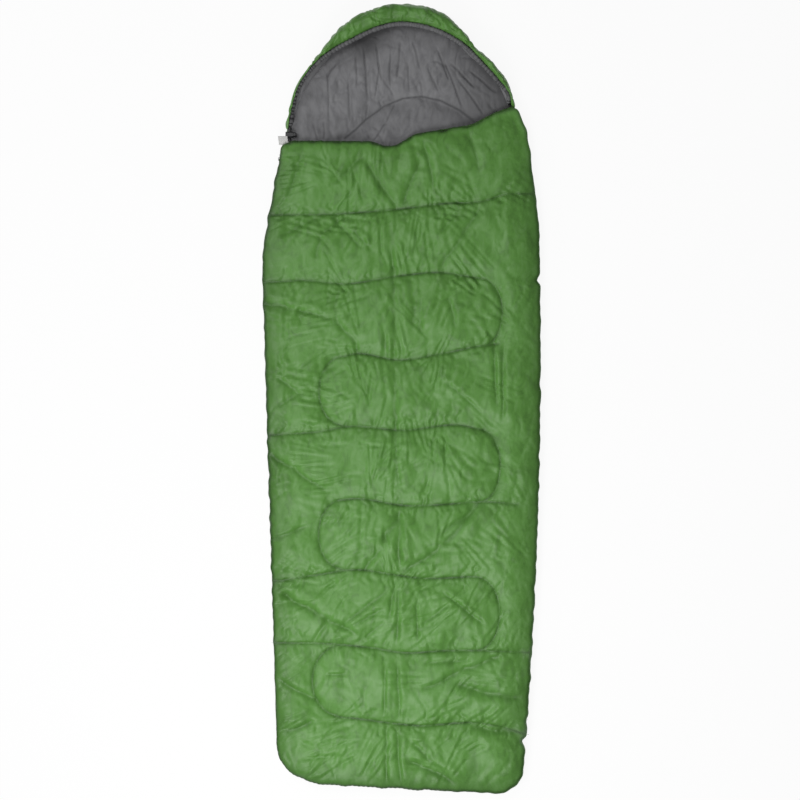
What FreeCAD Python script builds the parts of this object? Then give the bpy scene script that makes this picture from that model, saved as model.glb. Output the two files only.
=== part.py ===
"""Hooded sleeping bag, laid out flat on its back with its zip closed.

Millimetres. +Y points to the head end, +X to the sewn side, +Z up. The
origin is on the floor, under the middle of the bag.

From the floor up the bag is: the back pad, a flat space for the sleeper, and
the front pad. The front's top edge is cut away below the face. Above it the
hood stands on the back pad: a roof that rises towards the crown, open in a
round face opening with a gathered hem. The two pads are sewn together down
the right side. A zip with two sliders runs down the left side and along
the foot.
"""
import FreeCAD
import Part
import Sketcher
import math
import os

Vector = FreeCAD.Vector
Rotation = FreeCAD.Rotation
Placement = FreeCAD.Placement

doc = FreeCAD.newDocument("sleeping_bag")
sheet = doc.addObject("Spreadsheet::Sheet", "sizes")


# ---------------------------------------------------------------- sizes ----

SIZES = (
    # Cloth, padding and the flat space between the two linings
    ("cloth", 1.0),
    ("loft", 20.0),
    ("cavity", 14.0),
    ("pad_bevel", 9.0),
    # Quilting: eight lines across, joined in pairs by half-round turns
    ("line_first_y", 511.0),
    ("line_pitch", 195.4),
    ("line_count", 8),
    ("line_depth", 6.5),
    ("line_half", 10.0),
    ("turn_depth", 5.2),
    ("turn_half", 7.5),
    ("turn_right_x", 166.0),
    ("turn_left_x", -124.0),
    ("back_line_depth", 4.0),
    ("back_line_half", 8.0),
    # Corners of the bag's outline, from the left foot corner round to the left side
    ("foot_left_x", -329.0),
    ("foot_left_y", -975.0),
    ("toe_left_x", -235.0),
    ("toe_left_y", -1022.0),
    ("toe_right_x", 321.0),
    ("toe_right_y", -1052.0),
    ("arm_right_x", 368.0),
    ("arm_right_y", 470.0),
    ("neck_right_x", 337.0),
    ("neck_right_y", 715.0),
    ("hood_right_y", 800.0),
    ("arm_left_x", -371.0),
    ("arm_left_y", 390.0),
    # Rounding of those corners
    ("foot_left_round", 90.0),
    ("toe_left_round", 150.0),
    ("toe_right_round", 70.0),
    ("side_round", 600.0),
    ("neck_round", 130.0),
    # The sewn side bows outwards from the toe to the arm
    ("side_bow", 13550.0),
    ("side_reach", 371.0),
    # The head end is an arc about the middle of the hood
    ("head_x", 3.0),
    ("head_y", 751.0),
    ("head_round", 300.0),
    # Top edge of the front, from the sewn side to the zip
    ("collar_right_x", 306.6),
    ("collar_right_y", 783.0),
    ("shoulder_x", 250.0),
    ("shoulder_y", 764.0),
    ("dip_right_x", 190.0),
    ("dip_right_y", 732.0),
    ("dip_middle_x", 38.0),
    ("dip_middle_y", 707.0),
    ("dip_left_x", -15.0),
    ("dip_left_y", 675.0),
    ("collar_left_x", -318.2),
    ("collar_left_y", 677.0),
    ("collar_round", 16.0),
    ("shoulder_round", 60.0),
    ("dip_round", 80.0),
    ("dip_left_round", 35.0),
    # Binding folded over the front's top edge, and the sewn-in care label
    ("binding_thick", 2.0),
    ("binding_tall", 6.0),
    ("label_left_x", -325.0),
    ("label_width", 25.0),
    ("label_length", 24.0),
    ("label_thick", 0.8),
    ("label_z", 37.0),
    # Seam allowance that joins back and front down the right side
    ("seam_inset", 4.0),
    ("seam_thick", 2.0),
    ("seam_clearance", 0.3),
    # Hood: its left foot, its roof over the face opening, and its padding
    ("hood_foot_x", -307.9),
    ("hood_foot_y", 722.0),
    ("hood_tilt", 11.03),
    ("roof_y", 729.0),
    ("roof_z", 36.0),
    ("hood_wall", 20.0),
    ("hood_roof", 14.0),
    ("hood_block", 100.0),
    ("head_margin", 60.0),
    # Face opening and its hem, a tube round a tilted circle
    ("rim_x", 2.0),
    ("rim_y", 690.0),
    ("rim_radius", 300.0),
    ("drum_height", 400.0),
    ("hem_radius", 7.0),
    ("hem_corner", 4.2),
    ("hem_below_roof", 7.2),
    ("hem_start", 19.9),
    ("hem_sweep", 152.1),
    ("channel_radius", 2.2),
    # Drawcord, the knot on its end and the spring lock on it
    ("cord_radius", 1.5),
    ("cord_bend", 60.0),
    ("cord_end_y", 686.0),
    ("knot_radius", 3.6),
    ("knot_length", 6.5),
    ("lock_y", 708.0),
    ("barrel_half", 7.5),
    ("barrel_length", 20.0),
    ("barrel_back", 12.0),
    ("barrel_end", 1.5),
    ("bore_half", 5.9),
    ("plunger_half", 5.5),
    ("lock_bevel", 1.4),
    ("bar_corner_share", 0.4),
    ("plunger_length", 20.0),
    ("plunger_back", 4.0),
    ("cord_hole", 4.0),
    ("cord_slot", 7.6),
    ("slot_clearance", 0.2),
    ("spring_radius", 4.2),
    ("spring_wire", 0.7),
    ("spring_turns", 2),
    # Zip: tapes and coils stand on edge in the valley between the pads
    ("zip_x", -321.0),
    ("zip_top_y", 668.0),
    ("coil_top_y", 640.0),
    ("coil_end_x", 225.0),
    ("zip_corner_y", -1008.0),
    ("zip_end_x", 262.0),
    ("zip_end_y", -1031.0),
    ("zip_corner_round", 110.0),
    ("tape_half", 0.4),
    ("coil_half", 1.2),
    ("coil_reach", 2.85),
    ("coil_clearance", 0.15),
    ("stop_half", 1.4),
    ("stop_length", 4.0),
    ("stop_clearance", 1.0),
    # Zip sliders, in their own frame: X through the zip, Y along it
    ("slider_length", 24.0),
    ("slider_tail", 4.8),
    ("slider_nose", 6.2),
    ("plate_thick", 1.2),
    ("tunnel_thick", 3.0),
    ("tunnel_tail", 3.3),
    ("tunnel_nose", 5.2),
    ("tunnel_widens", 2.4),
    ("tunnel_wide", 3.6),
    ("tunnel_overrun", 1.2),
    ("tape_slot", 1.5),
    ("wedge_tip", 0.6),
    ("wedge_widest", 6.6),
    ("wedge_end", 11.4),
    ("wedge_half", 2.1),
    ("wedge_end_half", 1.3),
    ("bridge_length", 10.0),
    ("bridge_bar", 1.5),
    ("bridge_window", 2.3),
    ("bridge_half", 1.5),
    ("slider_y", 643.0),
    ("foot_slider_x", 228.0),
    # Pull tabs
    ("pull_thick", 1.6),
    ("pull_half", 4.5),
    ("pull_window", 2.1),
    ("pull_reach", 6.6),
    ("pull_bar_round", 0.7),
    ("pull_corner", 2.2),
    ("pull_hole_radius", 2.0),
    ("outer_pull_length", 34.0),
    ("inner_pull_length", 26.0),
    # Depth of a cut that goes right through a small part, or across the whole bag
    ("through_part", 50.0),
    ("through_bag", 1500.0),
)

SIZE = dict(SIZES)

# Edges are picked by where they are: at the same place, or at the same corner
# of an outline. A straight edge is upright if its lean is below LEAN.
SAME_PLACE = 0.01
SAME_CORNER = 0.5
LEAN = 0.001

for row, (alias, number) in enumerate(SIZES, start=1):
    sheet.set("A%d" % row, alias)
    sheet.set("B%d" % row, str(number))
    sheet.setAlias("B%d" % row, alias)
doc.recompute()


class Length:
    """A length from the sheet: its expression, and its number to draw with."""

    def __init__(self, number, text):
        self.number = float(number)
        self.text = text

    def __add__(self, other):
        other = length(other)
        return Length(self.number + other.number, "(%s + %s)" % (self.text, other.text))

    def __sub__(self, other):
        other = length(other)
        return Length(self.number - other.number, "(%s - %s)" % (self.text, other.text))

    def __mul__(self, factor):
        factor = length(factor)
        return Length(self.number * factor.number, "(%s * %s)" % (self.text, factor.text))

    def __truediv__(self, divisor):
        divisor = length(divisor)
        return Length(self.number / divisor.number, "(%s / %s)" % (self.text, divisor.text))

    def __neg__(self):
        return self * -1


def length(given):
    """A Length for a Length, for a name in the sheet, or for a plain number."""
    if isinstance(given, Length):
        return given
    if isinstance(given, str):
        return Length(SIZE[given], "sizes." + given)
    return Length(given, "%.6g" % given)


def slope(angle_name):
    """Rise per millimetre of a plane tilted by an angle in the sheet."""
    return Length(math.tan(math.radians(SIZE[angle_name])), "tan(sizes.%s * 1 deg)" % angle_name)


NONE = length(0)
CLOTH = length("cloth")
LOFT = length("loft")
FRONT_BASE = LOFT + "cavity"
FRONT_TOP = FRONT_BASE + "loft"
ZIP_Z = LOFT + length("cavity") * 0.5


# -------------------------------------------------------------- drawing ----

def new_body(label):
    body = doc.addObject("PartDesign::Body", label)
    body.Label = label
    return body


def new_sketch(body, name, role, offset=NONE):
    """A sketch on one of the body's own origin planes, moved along its normal."""
    planes = [plane for plane in body.Origin.OriginFeatures if plane.Role == role]
    sketch = body.newObject("Sketcher::SketchObject", body.Label + "_" + name)
    sketch.AttachmentSupport = [(planes[0], "")]
    sketch.MapMode = "FlatFace"
    sketch.setExpression("AttachmentOffset.Base.z", offset.text)
    return sketch


def bind(sketch, kind, point, value):
    """Dimensions a point of the sketch from its origin, or a radius, by the sheet."""
    if kind == "Radius":
        index = sketch.addConstraint(Sketcher.Constraint(kind, point, value.number))
    else:
        index = sketch.addConstraint(Sketcher.Constraint(kind, -1, 1, point[0], point[1], value.number))
    sketch.setExpression("Constraints[%d]" % index, value.text)


def tangent_point(centre, radius, outside):
    """Where a line from a point outside a circle touches it, on the left."""
    away = outside - centre
    spread = math.acos(radius / away.Length)
    angle = math.atan2(away.y, away.x) - spread
    return centre + Vector(math.cos(angle), math.sin(angle), 0) * radius


def draw_ring(sketch, corners, head=None, bowed=None):
    """Draws a closed ring of lines through the corners, each a pair of lengths.

    head is (side, centre, radius) for a side that is an arc: it starts at a
    corner held by its height alone, (None, height), and runs tangent into the
    side after it, from a corner given as None. bowed is (side, radius) for a
    side bowed outwards between its two corners.
    """
    count = len(corners)
    places = [Vector() if corner is None or corner[0] is None else
              Vector(corner[0].number, corner[1].number, 0) for corner in corners]
    if head:
        side, (across, up), radius = head
        middle = Vector(across.number, up.number, 0)
        rise = corners[side][1].number - middle.y
        places[side] = middle + Vector(math.sqrt(radius.number ** 2 - rise ** 2), rise, 0)
        places[side + 1] = tangent_point(middle, radius.number, places[(side + 2) % count])
    for number in range(count):
        start = places[number]
        end = places[(number + 1) % count]
        if head and number == side:
            circle = Part.Circle(middle, Vector(0, 0, 1), radius.number)
            angles = [math.atan2(point.y - middle.y, point.x - middle.x) for point in (start, end)]
            sketch.addGeometry(Part.ArcOfCircle(circle, *angles))
        elif bowed and number == bowed[0]:
            chord = end - start
            reach = bowed[1].number
            out = chord.cross(Vector(0, 0, 1)).normalize()
            bow = reach - math.sqrt(reach ** 2 - chord.Length ** 2 / 4)
            sketch.addGeometry(Part.Arc(start, start + chord * 0.5 + out * bow, end))
        else:
            sketch.addGeometry(Part.LineSegment(start, end))
    for number in range(count):
        smooth = corners[(number + 1) % count] is None
        kind = "Tangent" if smooth else "Coincident"
        sketch.addConstraint(Sketcher.Constraint(kind, number, 2, (number + 1) % count, 1))
    for number, corner in enumerate(corners):
        if corner is None:
            continue
        if corner[0] is not None:
            bind(sketch, "DistanceX", (number, 1), corner[0])
        bind(sketch, "DistanceY", (number, 1), corner[1])
    if head:
        bind(sketch, "DistanceX", (side, 3), across)
        bind(sketch, "DistanceY", (side, 3), up)
        bind(sketch, "Radius", side, radius)
    if bowed:
        bind(sketch, "Radius", bowed[0], bowed[1])


def square_ring(middle, half, corner=None):
    """Corners of a square about a point, each cut off by a bevel if one is given."""
    across, up = middle
    if corner is None:
        return [(across - half, up - half), (across + half, up - half), (across + half, up + half),
                (across - half, up + half)]
    flat = half - corner
    return [(across + half, up - flat), (across + half, up + flat), (across + flat, up + half),
            (across - flat, up + half), (across - half, up + flat), (across - half, up - flat),
            (across - flat, up - half), (across + flat, up - half)]


def draw_circle(sketch, centre, radius):
    place = Vector(centre[0].number, centre[1].number, 0)
    number = sketch.addGeometry(Part.Circle(place, Vector(0, 0, 1), radius.number))
    bind(sketch, "DistanceX", (number, 3), centre[0])
    bind(sketch, "DistanceY", (number, 3), centre[1])
    bind(sketch, "Radius", number, radius)


def extrude(body, name, kind, sketch, depth, both_ways=False):
    """Adds a Pad or a Pocket, and checks that it added or removed material."""
    doc.recompute()
    before = body.Tip.Shape.Volume if body.Tip else 0.0
    feature = body.newObject("PartDesign::" + kind, body.Label + "_" + name)
    feature.Profile = sketch
    feature.SideType = "Symmetric" if both_ways else "One side"
    feature.setExpression("Length", depth.text)
    doc.recompute()
    change = feature.Shape.Volume - before
    if (change <= 0) == (kind == "Pad"):
        raise ValueError("%s changed the volume by %.3f" % (feature.Name, change))
    return feature


def named_edges(shape, wanted):
    return ["Edge%d" % (number + 1) for number, edge in enumerate(shape.Edges) if wanted(edge)]


def round_edges(body, name, wanted, radius):
    """Fillets the edges of the body's last feature for which wanted(edge) holds."""
    doc.recompute()
    base = body.Tip
    names = named_edges(base.Shape, wanted)
    if not names:
        raise ValueError("no edges to round for %s_%s" % (body.Label, name))
    fillet = body.newObject("PartDesign::Fillet", body.Label + "_" + name)
    fillet.Base = (base, names)
    fillet.setExpression("Radius", radius.text)
    doc.recompute()
    return fillet


def bevel_edges(body, name, wanted, size):
    """Bevels the edges of the body's last feature for which wanted(edge) holds."""
    doc.recompute()
    base = body.Tip
    names = named_edges(base.Shape, wanted)
    if not names:
        raise ValueError("no edges to bevel for %s_%s" % (body.Label, name))
    chamfer = body.newObject("PartDesign::Chamfer", body.Label + "_" + name)
    chamfer.Base = (base, names)
    chamfer.setExpression("Size", size.text)
    doc.recompute()
    return chamfer


def soften_rim(body, name, height):
    """Bevels a pad's whole rim at one height."""
    bevel_edges(body, name, lambda edge: at_height(edge, height.number), length("pad_bevel"))


def upright(edge, places=None):
    """True for a straight edge along Z, at one of the given X, Y places if any."""
    ends = [vertex.Point for vertex in edge.Vertexes]
    if len(ends) != 2 or (ends[0] - ends[1]).cross(Vector(0, 0, 1)).Length > LEAN:
        return False
    if places is None:
        return True
    return any(math.hypot(ends[0].x - x, ends[0].y - y) < SAME_CORNER for x, y in places)


def at_height(edge, z):
    box = edge.BoundBox
    return abs(box.ZMin - z) < SAME_PLACE and abs(box.ZMax - z) < SAME_PLACE


def boolean(kind, label, first, second):
    """A Part::Cut, Part::Fuse or Part::Common of two objects."""
    made = doc.addObject("Part::" + kind, label)
    made.Label = label
    made.Base = first
    made.Tool = second
    doc.recompute()
    return made


# ---------------------------------------------------------- outline pads ----

# Each corner of the back: its name in the sheet, and which way is inwards.
# The bowed side runs from toe_right to arm_right, and the arc of the head end
# from hood_right to hood_left, where it runs tangent into the left side.
BACK_CORNERS = (
    ("foot_left", 1, 1),
    ("toe_left", 1, 1),
    ("toe_right", -1, 1),
    ("arm_right", -1, 0),
    ("neck_right", -1, 0),
    ("hood_right", 0, 0),
    ("hood_left", 0, 0),
    ("arm_left", 1, 0),
)
TOE_RIGHT = 2
HOOD_RIGHT = 5

# The front has the same sides, and a cut-away top edge in place of the head end.
COLLAR_CORNERS = (
    ("collar_right", -1, -1),
    ("shoulder", 0, -1),
    ("dip_right", 0, -1),
    ("dip_middle", 0, -1),
    ("dip_left", 0, -1),
    ("collar_left", 1, -1),
)
FRONT_CORNERS = BACK_CORNERS[:HOOD_RIGHT] + COLLAR_CORNERS + BACK_CORNERS[-1:]

ROUNDS = (
    ("foot_left_round", ("foot_left",)),
    ("toe_left_round", ("toe_left",)),
    ("toe_right_round", ("toe_right",)),
    ("side_round", ("arm_right", "arm_left")),
    ("neck_round", ("neck_right", "hood_right")),
    ("collar_round", ("collar_right", "collar_left")),
    ("shoulder_round", ("shoulder",)),
    ("dip_round", ("dip_right",)),
    ("dip_left_round", ("dip_middle", "dip_left")),
)


def inset_corners(corners, inset):
    """The corners moved inwards, with the ends of the head's arc left open."""
    moved = []
    for name, inwards, upwards in corners:
        if name == "hood_left":
            moved.append(None)
            continue
        across = None if name == "hood_right" else length(name + "_x") + inset * inwards
        moved.append((across, length(name + "_y") + inset * upwards))
    return moved


def outline_pad(label, corners, inset, bottom, height):
    """A plate in the bag's outline, moved inwards by inset, with rounded corners."""
    body = new_body(label)
    sketch = new_sketch(body, "outline", "XY_Plane", bottom)
    head = None
    if corners is BACK_CORNERS:
        head = (HOOD_RIGHT, (length("head_x"), length("head_y")), length("head_round") - inset)
    draw_ring(sketch, inset_corners(corners, inset), head, (TOE_RIGHT, length("side_bow") - inset))
    extrude(body, "plate", "Pad", sketch, height)
    drawn = [(line.StartPoint.x, line.StartPoint.y) for line in sketch.Geometry]
    for radius, names in ROUNDS:
        places = [place for place, corner in zip(drawn, corners) if corner[0] in names]
        if places:
            round_edges(body, radius, lambda edge, found=places: upright(edge, found), length(radius))
    return body


def quilt(body, surface, downwards, depth, half, turns):
    """Presses the quilting seams into a pad's outer face.

    A V-shaped valley runs across the pad at every line. Neighbouring lines
    are joined by half-round turns, on the right and on the left in turn, and
    the first line stands alone.
    """
    tip = surface - depth if downwards else surface + depth
    lines = new_sketch(body, "line", "YZ_Plane")
    middle = length("line_first_y")
    draw_ring(lines, [(middle - half, surface), (middle, tip), (middle + half, surface)])
    line = extrude(body, "line_valley", "Pocket", lines, length("through_bag"), both_ways=True)
    rows = body.newObject("PartDesign::LinearPattern", body.Label + "_lines")
    rows.Originals = [line]
    rows.Direction = (lines, ["H_Axis"])
    rows.Reversed = True
    rows.setExpression("Occurrences", "sizes.line_count")
    rows.setExpression("Length", "sizes.line_pitch * (sizes.line_count - 1)")
    body.Tip = rows
    doc.recompute()
    if not turns:
        return
    radius = length("line_pitch") * 0.5
    for side, centre, outwards, first in (
        ("right", "turn_right_x", 1, 1.5),
        ("left", "turn_left_x", -1, 2.5),
    ):
        middle_y = length("line_first_y") - length("line_pitch") * first
        sketch = new_sketch(body, side + "_turn", "XZ_Plane", -middle_y)
        axis_x = length(centre)
        crest = axis_x + radius * outwards
        turn_half = length("turn_half")
        valley = (crest, surface - "turn_depth")
        draw_ring(sketch, [(crest - turn_half, surface), valley, (crest + turn_half, surface)])
        foot = Vector(axis_x.number, 0, 0)
        axis = sketch.addGeometry(Part.LineSegment(foot, foot + Vector(0, surface.number, 0)), True)
        bind(sketch, "DistanceX", (axis, 1), axis_x)
        bind(sketch, "DistanceY", (axis, 1), NONE)
        sketch.addConstraint(Sketcher.Constraint("Vertical", axis))
        bind(sketch, "DistanceY", (axis, 2), surface)
        doc.recompute()
        before = body.Tip.Shape.Volume
        groove = body.newObject("PartDesign::Groove", body.Label + "_" + side + "_turn_valley")
        groove.Profile = sketch
        groove.ReferenceAxis = (sketch, ["Axis0"])
        groove.Angle = 180
        groove.Midplane = True
        doc.recompute()
        if groove.Shape.Volume >= before:
            raise ValueError("%s removed nothing" % groove.Name)
        repeat = body.newObject("PartDesign::LinearPattern", body.Label + "_" + side + "_turns")
        repeat.Originals = [groove]
        repeat.Direction = (lines, ["H_Axis"])
        repeat.Reversed = True
        repeat.setExpression("Occurrences", "(sizes.line_count - 2) / 2")
        repeat.setExpression("Length", "sizes.line_pitch * (sizes.line_count - 4)")
        body.Tip = repeat
        doc.recompute()


# -------------------------------------------------------------- the back ----

def make_back():
    """Back cover and its padding: the outer cloth wraps round the underside."""
    outer = outline_pad("back_outside", BACK_CORNERS, NONE, NONE, LOFT)
    soften_rim(outer, "floor_edge", NONE)
    quilt(outer, NONE, False, length("back_line_depth"), length("back_line_half"), turns=False)
    inner = outline_pad("back_inside", BACK_CORNERS, CLOTH, CLOTH, LOFT - CLOTH)
    soften_rim(inner, "floor_edge", CLOTH)
    quilt(inner, CLOTH, False, length("back_line_depth"), length("back_line_half"), turns=False)
    lining = outline_pad("back_lining", BACK_CORNERS, CLOTH, LOFT - CLOTH, CLOTH)
    shell = boolean("Cut", "back_shell", outer, inner)
    fill = boolean("Cut", "back_fill", inner, lining)
    return [shell, fill, lining]


# ------------------------------------------------------------- the front ----

def make_front():
    """Front cover and its padding, with the quilting pressed into its top."""
    outer = outline_pad("front_outside", FRONT_CORNERS, NONE, FRONT_BASE, LOFT)
    soften_rim(outer, "top_edge", FRONT_TOP)
    quilt(outer, FRONT_TOP, True, length("line_depth"), length("line_half"), turns=True)
    inner = outline_pad("front_inside", FRONT_CORNERS, CLOTH, FRONT_BASE, LOFT - CLOTH)
    inner_top = FRONT_TOP - CLOTH
    soften_rim(inner, "top_edge", inner_top)
    quilt(inner, inner_top, True, length("line_depth"), length("line_half"), turns=True)
    lining = outline_pad("front_lining", FRONT_CORNERS, CLOTH, FRONT_BASE, CLOTH)
    shell = boolean("Cut", "front_shell", outer, inner)
    fill = boolean("Cut", "front_fill", inner, lining)
    return [shell, fill, lining]


# -------------------------------------------------------------- the hood ----

HOOD_CORNERS = (
    ("hood_right", 0, 1),
    ("hood_left", 0, 0),
    ("hood_foot", 1, 1),
)


def hood_form(label, inset, drop, bevel=None):
    """The solid under one layer of the hood, moved in from the sides and down.

    It stands on the back pad and rises to a roof plane, tilted so that the
    crown stands highest.
    """
    body = new_body(label)
    sketch = new_sketch(body, "outline", "XY_Plane", LOFT)
    arc = (0, (length("head_x"), length("head_y")), length("head_round") - inset)
    draw_ring(sketch, inset_corners(HOOD_CORNERS, inset), arc)
    tall = length("hood_block")
    extrude(body, "block", "Pad", sketch, tall)
    start = length("collar_left_y")
    end = length("head_y") + "head_round" + "head_margin"
    roof = new_sketch(body, "roof", "YZ_Plane")
    low = length("roof_z") - drop + (start - "roof_y") * slope("hood_tilt")
    high = length("roof_z") - drop + (end - "roof_y") * slope("hood_tilt")
    over = LOFT + tall + "loft"
    draw_ring(roof, [(start, low), (end, high), (end, over), (start, over)])
    extrude(body, "roof_cut", "Pocket", roof, length("through_bag"), both_ways=True)
    if bevel:
        foot = min(vertex.Y for vertex in body.Tip.Shape.Vertexes)

        def on_roof_side(edge):
            box = edge.BoundBox
            at_roof = box.ZMin > LOFT.number + SAME_CORNER
            round_head = box.YMax > SIZE["head_y"] + SIZE["head_round"] / 2
            left_side = box.XMax < 0 and box.YLength > SAME_CORNER and box.YMin < foot + SAME_CORNER
            return at_roof and (round_head or left_side)

        bevel_edges(body, "roof_edge", on_roof_side, bevel)
    return body


def rim_frame(along=0.0):
    """How the rim's plane is turned: tilted, after a turn about its own axis by an angle."""
    tilt = Rotation(Vector(1, 0, 0), SIZE["hood_tilt"])
    return tilt.multiply(Rotation(Vector(0, 0, 1), along))


RIM_Z = length("roof_z") - "hem_below_roof" + (length("rim_y") - "roof_y") * slope("hood_tilt")


def opening_tool():
    """What the face opening takes out of the hood: a tilted drum, as wide as the hem's outside."""
    drum = doc.addObject("Part::Cylinder", "face_drum")
    drum.setExpression("Radius", "sizes.rim_radius + sizes.hem_radius")
    drum.setExpression("Height", "sizes.drum_height")
    drum.Placement.Rotation = rim_frame()
    half = "sizes.drum_height / 2"
    drum.setExpression("Placement.Base.x", "sizes.rim_x")
    drum.setExpression("Placement.Base.y", "sizes.rim_y + " + half + " * sin(sizes.hood_tilt * 1 deg)")
    drum.setExpression("Placement.Base.z", RIM_Z.text + " - " + half + " * cos(sizes.hood_tilt * 1 deg)")
    return drum


def make_hood():
    """Hood cover, padding and lining, all cut by the face opening."""
    edge = length("pad_bevel")
    outside = hood_form("hood_outside", NONE, NONE, edge)
    under_cover = hood_form("hood_under_cover", CLOTH, CLOTH, edge)
    under_fill = hood_form("hood_under_fill", CLOTH + "hood_wall", CLOTH + "hood_roof")
    inside = hood_form("hood_inside", CLOTH * 2 + "hood_wall", CLOTH * 2 + "hood_roof")
    tool = opening_tool()
    nodes = []
    for label, solid, hollow in (
        ("hood_shell", outside, under_cover),
        ("hood_fill", under_cover, under_fill),
        ("hood_lining", under_fill, inside),
    ):
        layer = boolean("Cut", label + "_layer", solid, hollow)
        nodes.append(boolean("Cut", label, layer, tool))
    return nodes


def rim_place(along=0.0):
    """The rim's plane: its middle, and its tilt after a turn about its own axis."""
    return Placement(Vector(SIZE["rim_x"], SIZE["rim_y"], RIM_Z.number), rim_frame(along))


def make_hem():
    """Hem of the face opening: a tube of eight flats with a channel for the drawcord.

    It is swept about the rim's own axis, and starts where the body is turned to.
    """
    hem = new_body("hood_hem")
    middle = (length("rim_radius"), NONE)
    sections = (
        ("Revolution", "tube", square_ring(middle, length("hem_radius"), length("hem_corner"))),
        ("Groove", "channel", square_ring(middle, length("channel_radius"))),
    )
    for kind, name, section in sections:
        sketch = new_sketch(hem, name, "XZ_Plane")
        draw_ring(sketch, section)
        doc.recompute()
        feature = hem.newObject("PartDesign::" + kind, "hood_hem_" + name + "_sweep")
        feature.Profile = sketch
        feature.ReferenceAxis = (sketch, ["V_Axis"])
        feature.setExpression("Angle", "sizes.hem_sweep")
        doc.recompute()
    hem.Placement = rim_place(SIZE["hem_start"])
    return [hem]


# --------------------------------------------------------- the drawcord ----

def cord_path():
    """The cord's line: round the rim, out at the hem's left end, and down to its knot."""
    frame = rim_place()
    radius = SIZE["rim_radius"]
    last = math.radians(SIZE["hem_start"] + SIZE["hem_sweep"])

    def on_rim(angle):
        return frame.multVec(Vector(radius * math.cos(angle), radius * math.sin(angle), 0))

    exit_point = on_rim(last)
    heading = frame.Rotation.multVec(Vector(-math.sin(last), math.cos(last), 0))
    down = Vector(0, -1, 0)
    turn = heading.getAngle(down)
    lead = SIZE["cord_bend"] * math.tan(turn / 2)
    corner = exit_point + heading * lead
    bend_end = corner + down * lead
    bisector = (down - heading).normalize()
    centre = corner + bisector * (SIZE["cord_bend"] / math.cos(turn / 2))
    bend_middle = centre - bisector * SIZE["cord_bend"]
    first = math.radians(SIZE["hem_start"])
    round_rim = Part.Arc(on_rim(first), on_rim((first + last) / 2), exit_point)
    bend = Part.Arc(exit_point, bend_middle, bend_end)
    straight = Part.LineSegment(bend_end, Vector(bend_end.x, SIZE["cord_end_y"], bend_end.z))
    print("cord: bend radius %.1f, turn %.1f deg" % (SIZE["cord_bend"], math.degrees(turn)))
    return Part.Wire([round_rim.toShape(), bend.toShape(), straight.toShape()]), straight.EndPoint


def make_drawcord():
    """Drawcord in the hem's channel, with a stopper knot on its free end."""
    wire, free_end = cord_path()
    start = wire.OrderedVertexes[0].Point
    heading = wire.OrderedEdges[0].tangentAt(0)
    turn = Rotation(Vector(0, 0, 1), heading)
    corners = []
    for number in range(7):
        angle = math.radians(60 * number)
        flat = Vector(math.cos(angle), math.sin(angle), 0) * SIZE["cord_radius"]
        corners.append(start + turn.multVec(flat))
    section = Part.Face(Part.makePolygon(corners))
    cord = doc.addObject("Part::Feature", "hood_drawcord")
    cord.Label = "hood_drawcord"
    cord.Shape = wire.makePipe(section)
    cord.Placement = Placement()
    worked_out = section.Area * wire.Length
    if abs(cord.Shape.Volume - worked_out) > 0.01 * worked_out:
        raise ValueError("the cord holds %.0f, not %.0f" % (cord.Shape.Volume, worked_out))
    knot = new_body("cord_knot")
    size = length("knot_radius")
    faceted_bar(knot, "knot", NONE, length("knot_length"), size)

    def at_end(edge):
        return across_axis(edge, 0) or across_axis(edge, SIZE["knot_length"])

    bevel_edges(knot, "knot_ends", at_end, length("lock_bevel"))
    knot.Placement = Placement(free_end, Rotation(Vector(0, 0, 1), -90))
    return [cord, knot], free_end


def faceted_bar(body, name, start, run, half):
    """A square bar with bevelled edges, along the body's own X axis."""
    section = new_sketch(body, name + "_section", "YZ_Plane", start)
    draw_ring(section, square_ring((NONE, NONE), half, half * "bar_corner_share"))
    extrude(body, name, "Pad", section, run)


def across_axis(edge, x):
    """True for an edge that lies across the body's own X axis, at one place on it."""
    box = edge.BoundBox
    return abs(box.XMin - x) < SAME_PLACE and abs(box.XMax - x) < SAME_PLACE


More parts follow.
